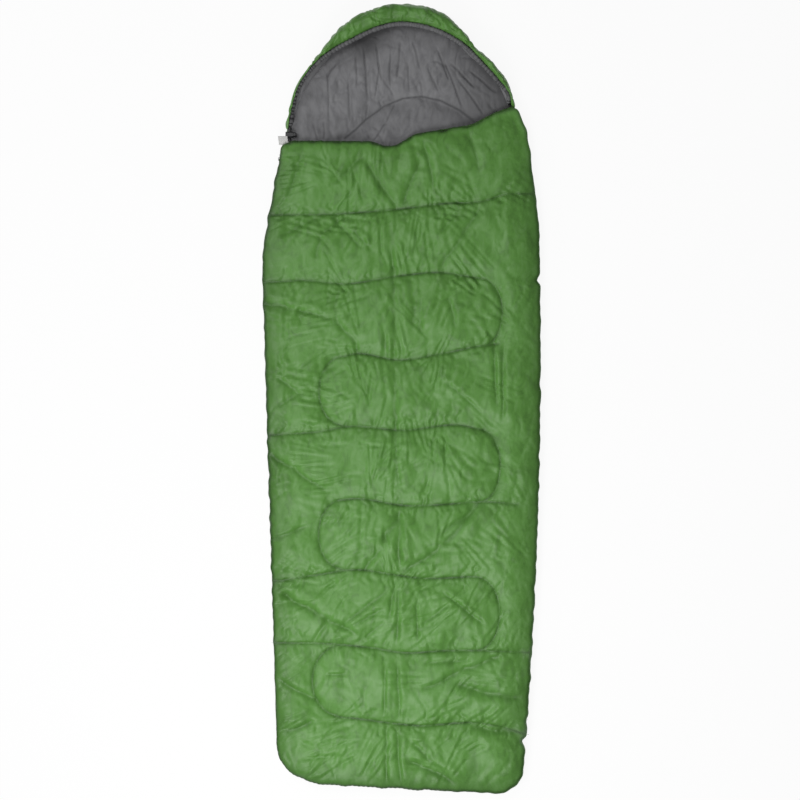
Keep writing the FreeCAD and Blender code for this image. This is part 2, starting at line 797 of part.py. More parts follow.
def make_cord_lock(free_end):
    """Spring lock on the drawcord: a square barrel, and a plunger pressed out by a coil spring.

    All three are drawn about their own X axis, with X = 0 at the cord.
    """
    place = Placement(Vector(free_end.x, SIZE["lock_y"], free_end.z), Rotation())
    half_hole = length("cord_hole") * 0.5
    closed = -length("barrel_back")
    mouth = closed + "barrel_length"
    outer = length("barrel_half")
    bevel = length("lock_bevel")

    barrel = new_body("cord_lock_barrel")
    faceted_bar(barrel, "barrel", closed, length("barrel_length"), outer)
    bevel_edges(barrel, "closed_end", lambda edge: across_axis(edge, closed.number), bevel)
    bore_half = length("bore_half")
    bore = new_sketch(barrel, "bore", "YZ_Plane", mouth)
    draw_ring(bore, square_ring((NONE, NONE), bore_half, bore_half * "bar_corner_share"))
    extrude(barrel, "plunger_way", "Pocket", bore, length("barrel_length") - "barrel_end")
    hole = new_sketch(barrel, "cord_hole", "XZ_Plane")
    draw_ring(hole, square_ring((NONE, NONE), half_hole))
    extrude(barrel, "cord_way", "Pocket", hole, length("through_part"), both_ways=True)

    plunger = new_body("cord_lock_plunger")
    back = -length("plunger_back")
    front = back + "plunger_length"
    faceted_bar(plunger, "stem", back, length("plunger_length"), length("plunger_half"))
    bevel_edges(plunger, "thumb_end", lambda edge: across_axis(edge, front.number), bevel)
    slot_start = -half_hole + "slot_clearance"
    slot_end = slot_start + "cord_slot"
    slot = new_sketch(plunger, "cord_slot", "XZ_Plane")
    draw_ring(slot, [(slot_start, -half_hole), (slot_end, -half_hole), (slot_end, half_hole),
                     (slot_start, half_hole)])
    extrude(plunger, "cord_way", "Pocket", slot, length("through_part"), both_ways=True)

    spring = new_body("cord_lock_spring")
    wire_radius = length("spring_wire") * 0.5
    middle = length("spring_radius")
    clear = length("seam_clearance") * 0.5
    first = closed + "barrel_end" + clear + wire_radius
    room = back - first - wire_radius - clear
    coil = new_sketch(spring, "wire", "XZ_Plane")
    draw_ring(coil, square_ring((first, middle), wire_radius))
    doc.recompute()
    helix = spring.newObject("PartDesign::AdditiveHelix", "cord_lock_spring_coil")
    helix.Profile = coil
    helix.ReferenceAxis = (coil, ["H_Axis"])
    helix.Mode = "height-turns-angle"
    helix.setExpression("Height", room.text)
    helix.setExpression("Turns", "sizes.spring_turns")
    helix.Angle = 0
    doc.recompute()
    for body in (barrel, plunger, spring):
        body.Placement = place
    return [barrel, plunger, spring]


# --------------------------------------------------------------- the zip ----

# Corners of a band that follows the zip's line, out along one face and back
# along the other: a name in the sheet, and which way the band is thick there.
ZIP_LINE = (
    ("top", -1, 0),
    ("corner", -1, -1),
    ("end", 0, -1),
    ("end", 0, 1),
    ("corner", 1, 1),
    ("top", 1, 0),
)


def foot_zip_y(x):
    """Where the foot part of the zip, which runs at a slight angle, passes a given X."""
    fall = length("zip_end_y") - "zip_corner_y"
    run = length("zip_end_x") - "zip_x"
    return length("zip_corner_y") + fall * (length(x) - "zip_x") / run


def zip_band(label, half, bottom, top, top_y="zip_top_y", end_x="zip_end_x"):
    """A strip on edge along the zip's whole line, round the foot corner."""
    body = new_body(label)
    sketch = new_sketch(body, "line", "XY_Plane", bottom)
    places = {
        "top": (length("zip_x"), length(top_y)),
        "corner": (length("zip_x"), length("zip_corner_y")),
        "end": (length(end_x), foot_zip_y(end_x)),
    }
    corners = []
    for place, thick_x, thick_y in ZIP_LINE:
        across, up = places[place]
        corners.append((across + half * thick_x, up + half * thick_y))
    draw_ring(sketch, corners)
    extrude(body, "strip", "Pad", sketch, top - bottom)
    for name, number, bigger in (("outer_round", 1, 1), ("inner_round", 4, -1)):
        place = (corners[number][0].number, corners[number][1].number)
        radius = length("zip_corner_round") + half * bigger
        round_edges(body, name, lambda edge, at=place: upright(edge, [at]), radius)
    return body


def zip_stop(label, bottom, top, across=None):
    """A small crimped block on a tape's end, seated on the tape's edge."""
    block = doc.addObject("Part::Box", label)
    block.Label = label
    half = length("stop_half")
    block.setExpression("Height", (top - bottom).text)
    if across is None:
        block.setExpression("Length", (half * 2).text)
        block.setExpression("Width", "sizes.stop_length")
        block.setExpression("Placement.Base.x", (length("zip_x") - half).text)
        nose = length("slider_y") + length("slider_length") * 0.5 + "stop_clearance"
        block.setExpression("Placement.Base.y", nose.text)
    else:
        block.setExpression("Length", "sizes.stop_length")
        block.setExpression("Width", (half * 2).text)
        block.setExpression("Placement.Base.x", across.text)
        block.setExpression("Placement.Base.y", (length("zip_end_y") - half).text)
    block.setExpression("Placement.Base.z", bottom.text)
    return block


def make_zip():
    """Two tapes, each with its coil, and the stops on their ends."""
    tape = length("tape_half")
    coil = length("coil_half")
    reach = length("coil_reach")
    gap = length("coil_clearance")
    back_tape = zip_band("zip_tape_back", tape, LOFT, ZIP_Z - reach)
    front_tape = zip_band("zip_tape_front", tape, ZIP_Z + reach, FRONT_BASE)
    ends = ("coil_top_y", "coil_end_x")
    back_coil = zip_band("zip_coil_back", coil, ZIP_Z - reach, ZIP_Z - gap, *ends)
    front_coil = zip_band("zip_coil_front", coil, ZIP_Z + gap, ZIP_Z + reach, *ends)
    back_stop = zip_stop("zip_top_stop_back", ZIP_Z - reach, ZIP_Z - gap)
    front_stop = zip_stop("zip_top_stop_front", ZIP_Z + gap, ZIP_Z + reach)
    foot_stop = zip_stop("zip_bottom_stop", LOFT, FRONT_BASE - "seam_clearance", length("zip_end_x"))
    return [back_tape, back_coil, back_stop, foot_stop], [front_tape, front_coil, front_stop]


def slider_bridge(body, name, face, outwards):
    """The bridge on one face of a slider: a low arch that holds the pull's bar."""
    half = length("bridge_length") * 0.5
    bar = length("bridge_bar")
    window = length("bridge_window")
    foot = face - CLOTH * (0.5 * outwards)
    crown = face + (window + bar) * outwards
    arch = new_sketch(body, name, "XY_Plane")
    draw_ring(arch, [
        (foot, -half), (crown, -half + "cloth"), (crown, half - "cloth"), (foot, half),
        (foot, half - bar), (face + window * outwards, half - bar),
        (face + window * outwards, -half + bar), (foot, -half + bar),
    ])
    extrude(body, name + "_arch", "Pad", arch, length("bridge_half") * 2, both_ways=True)


def zip_slider(label, inner_bridge):
    """A zip slider: two wings joined by a wedge, round a Y-shaped tunnel.

    Drawn in its own frame: -X is outside the bag, +Y its nose, Z across the zip.
    """
    body = new_body(label)
    half = length("slider_length") * 0.5
    tail = length("slider_tail")
    nose = length("slider_nose")
    thick = length("tunnel_thick") + length("plate_thick") * 2
    bevel = length("plate_thick") * 1.5
    wings = new_sketch(body, "wings", "YZ_Plane")
    draw_ring(wings, [
        (-half, -tail), (NONE, -nose), (half - bevel, -nose), (half, -nose + bevel),
        (half, nose - bevel), (half - bevel, nose), (NONE, nose), (-half, tail),
    ])
    extrude(body, "wing_plates", "Pad", wings, thick, both_ways=True)
    narrow = length("tunnel_tail")
    wide = length("tunnel_nose")
    tunnel = new_sketch(body, "tunnel", "YZ_Plane")
    widens = -length("tunnel_widens")
    full = length("tunnel_wide")
    past = half + "tunnel_overrun"
    draw_ring(tunnel, [
        (-past, -narrow), (widens, -narrow), (full, -wide), (past, -wide),
        (past, wide), (full, wide), (widens, narrow), (-past, narrow),
    ])
    extrude(body, "coil_tunnel", "Pocket", tunnel, length("tunnel_thick"), both_ways=True)
    slot = new_sketch(body, "slot", "YZ_Plane")
    beside = nose + "tunnel_overrun"
    draw_ring(slot, [(-past, -beside), (past, -beside), (past, beside), (-past, beside)])
    extrude(body, "tape_way", "Pocket", slot, length("tape_slot"), both_ways=True)
    wedge = new_sketch(body, "wedge", "YZ_Plane")
    wedge_half = length("wedge_half")
    end_half = length("wedge_end_half")
    widest = length("wedge_widest")
    wedge_end = length("wedge_end")
    draw_ring(wedge, [
        (length("wedge_tip"), NONE), (widest, -wedge_half), (wedge_end, -end_half),
        (wedge_end, end_half), (widest, wedge_half),
    ])
    extrude(body, "wedge_post", "Pad", wedge, thick - "plate_thick", both_ways=True)
    face = thick * 0.5
    slider_bridge(body, "outer_bridge", -face, -1)
    if inner_bridge:
        slider_bridge(body, "inner_bridge", face, 1)
    return body


def pull_tab(label, reach):
    """A pull tab: a flat tab whose window goes round the slider's bridge.

    It lies along -Y from its bar, which turns under the bridge on the Z axis
    of the tab's own frame.
    """
    body = new_body(label)
    tab = length("pull_half")
    window = length("pull_window")
    bar = length("pull_thick") * 0.5
    neck = window + "bridge_bar"
    corner = length("pull_corner")
    tab_sketch = new_sketch(body, "tab", "YZ_Plane")
    far = -length(reach)
    open_end = -length("pull_reach")
    shoulder = open_end - "bridge_bar"
    draw_ring(tab_sketch, [
        (bar, -neck), (bar, neck), (shoulder, neck), (shoulder - "bridge_bar", tab),
        (far + corner, tab), (far, tab - corner), (far, corner - tab), (far + corner, -tab),
        (shoulder - "bridge_bar", -tab), (shoulder, -neck),
    ])
    extrude(body, "plate", "Pad", tab_sketch, length("pull_thick"), both_ways=True)
    round_edges(body, "bar_round", lambda edge: edge.BoundBox.YMin > bar.number - SAME_PLACE
                and edge.BoundBox.ZLength > neck.number, length("pull_bar_round"))
    hole = new_sketch(body, "window", "YZ_Plane")
    draw_ring(hole, [(-bar, -window), (-bar, window), (open_end, window), (open_end, -window)])
    extrude(body, "bridge_window", "Pocket", hole, length("through_part"), both_ways=True)
    end_hole = new_sketch(body, "end_hole", "YZ_Plane")
    draw_circle(end_hole, (far + tab, NONE), length("pull_hole_radius"))
    extrude(body, "cord_hole", "Pocket", end_hole, length("through_part"), both_ways=True)
    return body


def make_sliders():
    """The side slider at the top of the zip and the foot slider at its other end."""
    side_place = Placement(Vector(SIZE["zip_x"], SIZE["slider_y"], ZIP_Z.number), Rotation())
    run = Vector(SIZE["zip_end_x"] - SIZE["zip_x"], SIZE["zip_end_y"] - SIZE["zip_corner_y"], 0)
    foot_angle = math.degrees(math.atan2(run.y, run.x))
    foot_point = Vector(SIZE["foot_slider_x"], foot_zip_y("foot_slider_x").number, ZIP_Z.number)
    turn = Rotation(Vector(0, 0, 1), foot_angle - 90).multiply(Rotation(Vector(0, 1, 0), 180))
    foot_place = Placement(foot_point, turn)
    bar_x = SIZE["tunnel_thick"] / 2 + SIZE["plate_thick"] + SIZE["bridge_window"] / 2

    side = zip_slider("zip_slider", inner_bridge=True)
    side.Placement = side_place
    foot = zip_slider("foot_slider", inner_bridge=False)
    foot.Placement = foot_place
    outer = pull_tab("zip_pull_outer", "outer_pull_length")
    outer.Placement = side_place.multiply(Placement(Vector(-bar_x, 0, 0), Rotation()))
    inner = pull_tab("zip_pull_inner", "inner_pull_length")
    inner.Placement = side_place.multiply(Placement(Vector(bar_x, 0, 0), Rotation()))
    foot_pull = pull_tab("foot_pull", "outer_pull_length")
    foot_pull.Placement = foot_place.multiply(Placement(Vector(-bar_x, 0, 0), Rotation()))
    for item in (side, foot, outer, inner, foot_pull):
        print("%s at %s" % (item.Label, item.Placement.Base))
    print("foot zip runs at %.3f degrees" % foot_angle)
    return [side, outer, inner, foot, foot_pull]


# --------------------------------------------------------- seams and trim ----

def make_side_seam():
    """Seam allowance between back and front, from the zip's end up the right side."""
    inset = length("seam_inset")
    height = length("cavity") - "seam_clearance"
    outer = outline_pad("seam_outside", BACK_CORNERS, inset, LOFT, height)
    inner = outline_pad("seam_inside", BACK_CORNERS, inset + "seam_thick", LOFT, height)
    ring = boolean("Cut", "seam_ring", outer, inner)
    right = doc.addObject("Part::Box", "right_side")
    start = length("zip_end_x") + "stop_length"
    right.setExpression("Length", (length("side_reach") - start).text)
    right.setExpression("Width", (length("collar_right_y") - "toe_right_y").text)
    right.setExpression("Height", FRONT_TOP.text)
    right.setExpression("Placement.Base.x", start.text)
    right.setExpression("Placement.Base.y", "sizes.toe_right_y")
    return [boolean("Common", "side_seam_binding", ring, right)]


def make_collar():
    """Binding along the front's top edge, and the bare care label sewn into its end."""
    body = new_body("front_hem")
    sketch = new_sketch(body, "strip", "XY_Plane", FRONT_BASE)
    thick = length("binding_thick")
    reach = length("collar_round")
    edge = [(length(name + "_x"), length(name + "_y")) for name, _, _ in COLLAR_CORNERS]
    fall = (edge[0][1] - edge[1][1]) / (edge[0][0] - edge[1][0])
    edge[0] = (edge[0][0] - reach, edge[0][1] - reach * fall)
    edge[-1] = (edge[-1][0] + reach, edge[-1][1])
    outside = [(x, y + thick) for x, y in edge]
    draw_ring(sketch, edge + outside[::-1])
    extrude(body, "binding", "Pad", sketch, length("binding_tall"))
    for radius, names in ROUNDS:
        for number, (name, _, _) in enumerate(COLLAR_CORNERS):
            if name in names and 0 < number < len(COLLAR_CORNERS) - 1:
                places = [(edge[number][0].number, edge[number][1].number),
                          (outside[number][0].number, outside[number][1].number)]
                round_edges(body, radius + "_" + name,
                            lambda line, at=places: upright(line, at), length(radius))
    label = doc.addObject("Part::Box", "care_label")
    label.Label = "care_label"
    label.setExpression("Length", "sizes.label_width")
    label.setExpression("Width", "sizes.label_length")
    label.setExpression("Height", "sizes.label_thick")
    label.setExpression("Placement.Base.x", "sizes.label_left_x")
    label.setExpression("Placement.Base.y", (length("collar_left_y") + thick).text)
    label.setExpression("Placement.Base.z", "sizes.label_z")
    return [body, label]


def main():
    nodes = make_back() + make_front() + make_hood() + make_hem()
    cord, free_end = make_drawcord()
    nodes += cord + make_cord_lock(free_end)
    back_zip, front_zip = make_zip()
    nodes += back_zip + front_zip + make_sliders()
    nodes += make_side_seam() + make_collar()
    return nodes


made = main()
doc.recompute()

for item in doc.Objects:
    bad = [state for state in item.State if state in ("Invalid", "Error")]
    if bad:
        raise ValueError("%s is %s" % (item.Label, bad))
os.makedirs("parts", exist_ok=True)
for node in made:
    shape = node.Shape
    if shape.isNull() or not shape.isValid():
        raise ValueError("%s has no valid shape" % node.Label)
    box = shape.BoundBox
    print("%-20s %9.2f cm3 %3d faces %d solids  x %.1f %.1f  y %.1f %.1f  z %.1f %.1f" % (
        node.Label, shape.Volume / 1000.0, len(shape.Faces), len(shape.Solids),
        box.XMin, box.XMax, box.YMin, box.YMax, box.ZMin, box.ZMax))
    shape.exportStep("parts/%s.step" % node.Label)
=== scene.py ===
"""Hooded sleeping bag, laid out flat: the looks of every visible surface.

Metres. +Y points to the head end, +X to the sewn side, +Z up. The two pads
are quilted cloth over wadding, worked out on grids whose rows follow the
quilting lines, swollen as simulated cloth, and creased along the folds that
the bag keeps from its sack.
"""

import math
from functools import partial

import bpy
import numpy as np
from bpy.props import FloatProperty, FloatVectorProperty, PointerProperty
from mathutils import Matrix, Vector


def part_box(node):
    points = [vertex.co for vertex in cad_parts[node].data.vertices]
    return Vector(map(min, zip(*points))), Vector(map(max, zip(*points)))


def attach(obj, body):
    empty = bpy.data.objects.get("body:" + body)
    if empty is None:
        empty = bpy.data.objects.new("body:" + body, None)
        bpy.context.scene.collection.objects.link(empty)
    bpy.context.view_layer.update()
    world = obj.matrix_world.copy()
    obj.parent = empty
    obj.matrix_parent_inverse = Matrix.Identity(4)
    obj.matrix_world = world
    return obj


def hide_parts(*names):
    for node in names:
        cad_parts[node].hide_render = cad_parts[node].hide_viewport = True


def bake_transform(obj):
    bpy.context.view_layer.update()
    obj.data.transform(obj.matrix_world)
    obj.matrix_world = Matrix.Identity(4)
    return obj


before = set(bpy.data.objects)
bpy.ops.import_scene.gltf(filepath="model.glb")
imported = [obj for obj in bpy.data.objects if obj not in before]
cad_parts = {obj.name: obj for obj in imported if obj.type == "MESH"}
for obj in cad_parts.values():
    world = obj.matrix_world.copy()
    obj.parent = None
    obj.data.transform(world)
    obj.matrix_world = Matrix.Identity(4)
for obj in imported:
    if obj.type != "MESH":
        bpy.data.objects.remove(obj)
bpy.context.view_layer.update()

bl_info = {
    "name": "Hooded sleeping bag",
    "version": (1, 0, 0),
    "blender": (4, 5, 0),
    "location": "View3D > Sidebar > Sleeping bag",
    "description": "Quilted hooded sleeping bag with a gathered face opening and a two-way zip",
    "category": "Add Mesh",
}


def linear_colour(code):
    """An sRGB hex colour as linear red, green and blue."""
    srgb = np.array([int(code[place:place + 2], 16) for place in (0, 2, 4)]) / 255
    linear = np.where(srgb <= 0.04045, srgb / 12.92, ((srgb + 0.055) / 1.055) ** 2.4)
    return tuple(float(value) for value in linear)


# ------------------------------------------------- sizes and colours ----

class BagSizes(bpy.types.PropertyGroup):
    """Sizes a user would change."""

    cell: FloatProperty(
        name="Cloth grid", description="Spacing of the grid that the cloth is simulated on",
        default=0.007, unit="LENGTH")
    puff: FloatProperty(
        name="Puff", description="How far the cloth stands above its quilting seams",
        default=0.013, unit="LENGTH")
    excess: FloatProperty(
        name="Excess cloth", description="Share by which the cloth is cut larger than the wadding under it",
        default=0.05, subtype="FACTOR")
    edge_round: FloatProperty(
        name="Edge rounding", description="Width over which a pad rounds off to its edge",
        default=0.045, unit="LENGTH")
    ruffle: FloatProperty(
        name="Edge ruffle", description="How far the sewn edge wanders in and out",
        default=0.0014, unit="LENGTH")
    wrinkle: FloatProperty(
        name="Wrinkle", description="Height of the small wrinkles",
        default=0.0013, unit="LENGTH")
    gather: FloatProperty(
        name="Gather spacing", description="Distance between the gathers along the face opening",
        default=0.017, unit="LENGTH")
    coil_pitch: FloatProperty(
        name="Coil pitch", description="Distance from one zip tooth to the next on one side",
        default=0.0025, unit="LENGTH")
    stitch: FloatProperty(
        name="Stitch length", description="Length of a quilting stitch",
        default=0.0045, unit="LENGTH")


class BagColours(bpy.types.PropertyGroup):
    """Colours a user would change."""

    cover: FloatVectorProperty(
        name="Cover", description="Outer polyester", subtype="COLOR", default=linear_colour("578A3B"))
    lining: FloatVectorProperty(
        name="Lining", description="Inner polyester", subtype="COLOR", default=linear_colour("79797B"))
    # The hem is the lining's cloth; its grey is darker than the lining's, as painted shade
    hem: FloatVectorProperty(
        name="Hem", description="Gathered hem of the face opening", subtype="COLOR",
        default=linear_colour("6A6A6C"))
    zip: FloatVectorProperty(
        name="Zip", description="Zip tape and coil", subtype="COLOR", default=linear_colour("20241F"))
    label: FloatVectorProperty(
        name="Label", description="Bare care label", subtype="COLOR", default=linear_colour("D6D6D4"))


# ----------------------------------------------------- the bag's plan ----

# Heights where the layers meet, and the line of the zip down the left side and along the foot
BACK_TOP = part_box("back_lining")[1].z
FRONT_BASE, FRONT_TOP = (corner.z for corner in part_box("front_shell"))
ZIP_X = (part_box("zip_coil_front")[0].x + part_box("zip_top_stop_front")[1].x) / 2
ZIP_Z = sum(corner.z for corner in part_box("zip_slider")) / 2
ZIP_CORNER_Y = -1.008
ZIP_CORNER_ROUND = 0.110
ZIP_END = (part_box("zip_bottom_stop")[0].x, sum(corner.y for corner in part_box("zip_bottom_stop")) / 2)
ZIP_SLOPE = (ZIP_END[1] - ZIP_CORNER_Y) / (ZIP_END[0] - ZIP_X)

# The face opening lies on a plane that rises towards the crown.
RIM_Y, RIM_Z = 0.690, 0.0212
RIM_TILT = math.radians(11.03)
HEM_RADIUS = 0.0065
LOCK_TRAVEL = 0.011
ROOF_HEIGHT = 0.036
ROOF_START_Y = 0.729
HEAD_MIDDLE = (0.003, 0.751)
# Where the hood's wadding is thin: angle about the head's middle, spread and depth
THIN_PLACES = ((0.78, 0.30, 0.032), (2.50, 0.40, 0.023))

# The front's quilting in millimetres, from the head down: points of each line, and from
# where to where it is stitched. Neighbouring lines join in turns, right and left.
END = 450
QUILTING_MM = (
    (((-346, 492), (-173, 495), (-3, 508), (110, 522), (234, 533), (261, 543), (359, 549)), -END, END),
    (((-333, 314), (-266, 318), (-154, 309), (3, 331), (96, 339), (221, 322), (350, 318)), -END, 200),
    (((-340, 100), (-178, 106), (-133, 121), (-3, 106), (112, 124), (234, 147), (350, 150)), -150, 258),
    (((-343, -93), (-215, -84), (-142, -71), (-3, -81), (194, -75), (221, -86), (350, -86)), -END, 200),
    (((-340, -275), (-186, -271), (-130, -263), (10, -281), (128, -277), (208, -271), (350, -281)),
     -155, 309),
    (((-322, -481), (-210, -463), (-130, -452), (-3, -467), (51, -474), (202, -470), (350, -475)), -END, 190),
    (((-333, -646), (-181, -649), (-78, -660), (11, -673), (102, -668), (261, -668), (338, -673)), -END, END),
    (((-340, -846), (-133, -846), (-32, -859), (37, -866), (221, -861), (274, -872), (331, -891)), -133, END),
)
QUILTING = [(np.array(points) / 1000, start / 1000, end / 1000) for points, start, end in QUILTING_MM]
# Turns: the line above, where it leaves that line, its crest, and where it meets the line below.
TURNS = (
    (1, 0.200, 0.269, 0.212), (2, -0.150, -0.218, -0.135), (3, 0.200, 0.264, 0.200),
    (4, -0.155, -0.219, -0.135), (5, 0.190, 0.262, 0.190), (6, -0.150, -0.236, -0.133),
)
BACK_LINES = [0.511 - 0.1954 * number for number in range(8)]

# Long folds in the front cover, in tenths of a millimetre: x and y of both ends, half width
# and depth. The first is the crease left by folding the bag lengthwise, which a seam interrupts.
FOLDS = (
    (-240, 4800, -180, 1200, 140, 30), (-180, 1000, -120, -2500, 120, 30), (320, 2550, 340, 1950, 120, 34),
    (-60, -2900, -30, -4500, 110, 48), (-40, -4800, -120, -6500, 70, 42),
    (-100, -6900, -40, -8500, 60, 28), (-400, -6900, -460, -8500, 50, 26),
    (-400, -8610, -380, -10200, 70, 36), (-120, -8700, 0, -10200, 60, 36),
    (2480, 1600, 2520, -100, 60, 44), (2720, 1460, 2700, -600, 60, 40),
    (2150, -2660, 1100, -3900, 170, 65), (1100, -3900, 0, -4620, 140, 60),
    (1920, -2950, 1000, -3600, 100, 40), (-500, -3900, -1000, -4550, 100, 40),
    (0, -3000, -550, -3850, 160, 50), (-3500, -1460, -2900, -1800, 120, 55),
    (-2950, -1780, -1950, -2450, 110, 45), (-3480, -3720, -2420, -3330, 70, 34),
    (-3700, 2620, -2850, 2400, 120, 60), (-2850, 2400, -1850, 2170, 90, 45),
    (-1800, 2220, -1180, 1500, 90, 34), (1040, -5050, 2230, -5980, 60, 42),
    (430, -5200, 430, -6400, 50, 34), (1300, -5450, 500, -6000, 70, 36),
    (-140, -4820, -340, -5900, 70, 36), (-300, -5000, -1900, -6280, 80, 46),
    (-450, -5550, -1600, -6150, 70, 40), (-400, -5900, -1000, -6340, 60, 36),
    (-3230, -5100, -2120, -5740, 130, 62), (-2120, -5740, -1130, -6240, 110, 50),
    (2130, 5160, 1600, 4300, 120, 46), (1600, 4300, 1050, 3560, 90, 40), (1500, 5000, 1000, 4400, 70, 30),
    (-1570, 4860, -2120, 4380, 100, 44), (-2120, 4380, -2260, 3750, 100, 40),
    (-1810, 4870, -1030, 4010, 80, 38), (-1300, 4550, -800, 4000, 60, 30),
    (-2150, 4900, -3300, 4300, 90, 36), (510, 2750, 510, 1770, 130, 36), (1280, 2750, 1450, 1900, 90, 32),
    (1050, 610, 2210, -390, 50, 30), (-3300, 600, -2700, 200, 80, 34), (-2700, 200, -3300, -200, 70, 30),
    (3220, -8000, 1390, -7550, 160, 62), (520, -7720, 1600, -7220, 120, 52),
    (1500, -7220, 2700, -6800, 130, 54), (600, -7000, 1900, -6900, 80, 34),
    (100, -9500, 1500, -10200, 120, 52), (1800, -8700, 3120, -8850, 150, 52),
    (-3120, -8840, -2280, -8530, 120, 48), (-2000, -7310, -1450, -7280, 50, 32),
    (-3300, -7400, -2060, -8110, 90, 40), (200, -9000, 1200, -10000, 100, 34),
    (600, 6900, 900, 5600, 100, 44), (0, 5100, 500, 6400, 120, 44), (-100, 5100, -1000, 6400, 100, 40),
    (-1000, 6500, -1800, 5700, 90, 36), (1800, 7200, 2100, 6000, 120, 36),
    (-2600, 6600, -3000, 5400, 100, 34),
)


# -------------------------------------------------- points and grids ----

def ramp(distance, width):
    """A share that rises evenly from nothing where the distance is zero to one where it is the width."""
    return np.clip(distance / width, 0, 1)


def eased(share):
    """A share that starts and ends softly: three times its square less twice its cube."""
    return share * share * (3 - 2 * share)


def bell(distance, width):
    """A bell curve: one where the distance is zero, and fading over about the width."""
    return np.exp(-(distance / width) ** 2)


def arched(share):
    """A share that rises as a quarter of a circle: steeply at first and level at one."""
    return np.sqrt(1 - (1 - share) ** 2)


def raised(plan, height):
    """Points seen from above, with a height added: one number, or one for each point."""
    return np.concatenate([plan, np.broadcast_to(height, plan.shape[:-1])[..., None]], axis=-1)


def folds(table):
    """Both ends, half width and depth in metres of each fold of a table in tenths of a millimetre."""
    return [(row[:2], row[2:4], row[4], row[5]) for row in np.array(table) / 10000]


def outline_of(node, grow=0.0):
    """The outline of a flat node seen from above, anticlockwise, moved outwards by grow.

    The corner points of its lowest face are put in order of their angle about
    the middle, and then laid out evenly, 4 mm apart.
    """
    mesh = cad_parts[node].data
    points = np.zeros(len(mesh.vertices) * 3)
    mesh.vertices.foreach_get("co", points)
    points = points.reshape(-1, 3)
    flat = points[points[:, 2] < points[:, 2].min() + 1e-5][:, :2]
    flat = np.unique(np.round(flat, 5), axis=0)
    away = flat - (flat.min(0) + flat.max(0)) / 2
    ring = flat[np.argsort(np.arctan2(away[:, 1], away[:, 0]))]
    ring = evenly(np.concatenate([ring, ring[:1]]), 4.0e-3)[:-1]
    return ring + outwards(ring) * grow


def back_ring(grow=0.0):
    """The back's outline, drawn in a little where the hood's wadding is thin."""
    ring = outline_of("back_lining", grow)
    away = ring - HEAD_MIDDLE
    angle = np.arctan2(away[:, 1], away[:, 0])
    pull = sum(depth * bell(angle - place, width) for place, width, depth in THIN_PLACES)
    return ring - away / np.linalg.norm(away, axis=1)[:, None] * pull[:, None]


def front_ring():
    """The front's outline; the left part of its top edge is pulled up by the cloth's tension."""
    ring = outline_of("front_lining", 0.001)
    x, y = ring.T
    pull = 0.012 * (ramp(-0.045 - x, 0.035) * ramp(x + 0.318, 0.030) * ramp(y - 0.60, 0.06))
    return ring + np.stack([0 * x, pull], axis=1)


def beside(steps):
    """Unit normals on the right of the given steps."""
    normal = np.stack([steps[:, 1], -steps[:, 0]], axis=1)
    return normal / np.linalg.norm(normal, axis=1)[:, None]


def outwards(ring):
    """Unit normals of a closed anticlockwise ring, pointing out of it."""
    return beside(np.roll(ring, -2, axis=0) - np.roll(ring, 2, axis=0))


def outwards_of_line(line):
    """Unit normals of an open line that runs anticlockwise, pointing out."""
    return beside(np.gradient(line, axis=0))


def run_of(points):
    """Distance along a polyline at each of its points."""
    steps = np.linalg.norm(np.diff(points, axis=0), axis=1)
    return np.concatenate([[0.0], np.cumsum(steps)])


def spread(points, count):
    """The given number of points, evenly laid along a polyline."""
    run = run_of(points)
    where = np.linspace(0, run[-1], count)
    return np.stack([np.interp(where, run, column) for column in points.T], axis=1)


def evenly(points, spacing):
    """Points along a polyline, about the given distance apart."""
    return spread(points, int(run_of(points)[-1] / spacing) + 2)


def smooth_noise(along, seed, longest, shortest, terms=24):
    """A wandering value of about one in size: a sum of sines of random wavelength and phase."""
    chance = np.random.default_rng(seed)
    waves = 2 * math.pi / chance.uniform(shortest, longest, terms)
    phases = chance.uniform(0, 2 * math.pi, terms)
    return np.sin(np.multiply.outer(along, waves) + phases).sum(-1) / math.sqrt(terms)


def smooth_noise_xy(x, y, seed, longest, shortest, terms=28, turn=3.0):
    """The same over a plane: a sum of plane waves, whose directions keep within about turn of X."""
    chance = np.random.default_rng(seed)
    total = np.zeros_like(x)
    for _ in range(terms):
        wave = 2 * math.pi / chance.uniform(shortest, longest)
        angle = chance.normal(0, turn)
        phase = chance.uniform(0, 2 * math.pi)
        total += np.sin((x * math.cos(angle) + y * math.sin(angle)) * wave + phase)
    return total / math.sqrt(terms)


def crumple(x, y, seed, size, turn=0.8, stretch=1.0):
    """Height of crumpled cloth, about one: rounded swellings that meet in sharp creases, and
    finer ridges on them. stretch draws the swellings out along Y.

    Each layer is the absolute value of a noise, so that it folds sharply where
    the noise passes zero. The plane is bent first, so that no crease is straight.
    """
    y = y / stretch
    bent_x = x + size * 0.30 * smooth_noise_xy(x, y, seed, 4 * size, 1.5 * size)
    bent_y = y + size * 0.30 * smooth_noise_xy(x, y, seed + 1, 4 * size, 1.5 * size)
    swelling = np.abs(smooth_noise_xy(bent_x, bent_y, seed + 2, 2.0 * size, 0.9 * size, turn=turn))
    ridge = np.abs(smooth_noise_xy(bent_x, bent_y, seed + 3, 0.9 * size, 0.45 * size, turn=turn * 1.4))
    ridged = np.clip(0.5 + 0.7 * smooth_noise_xy(x, y, seed + 4, 5 * size, 2 * size), 0, 1)
    return 0.9 * swelling - 0.45 * ridge * ridged


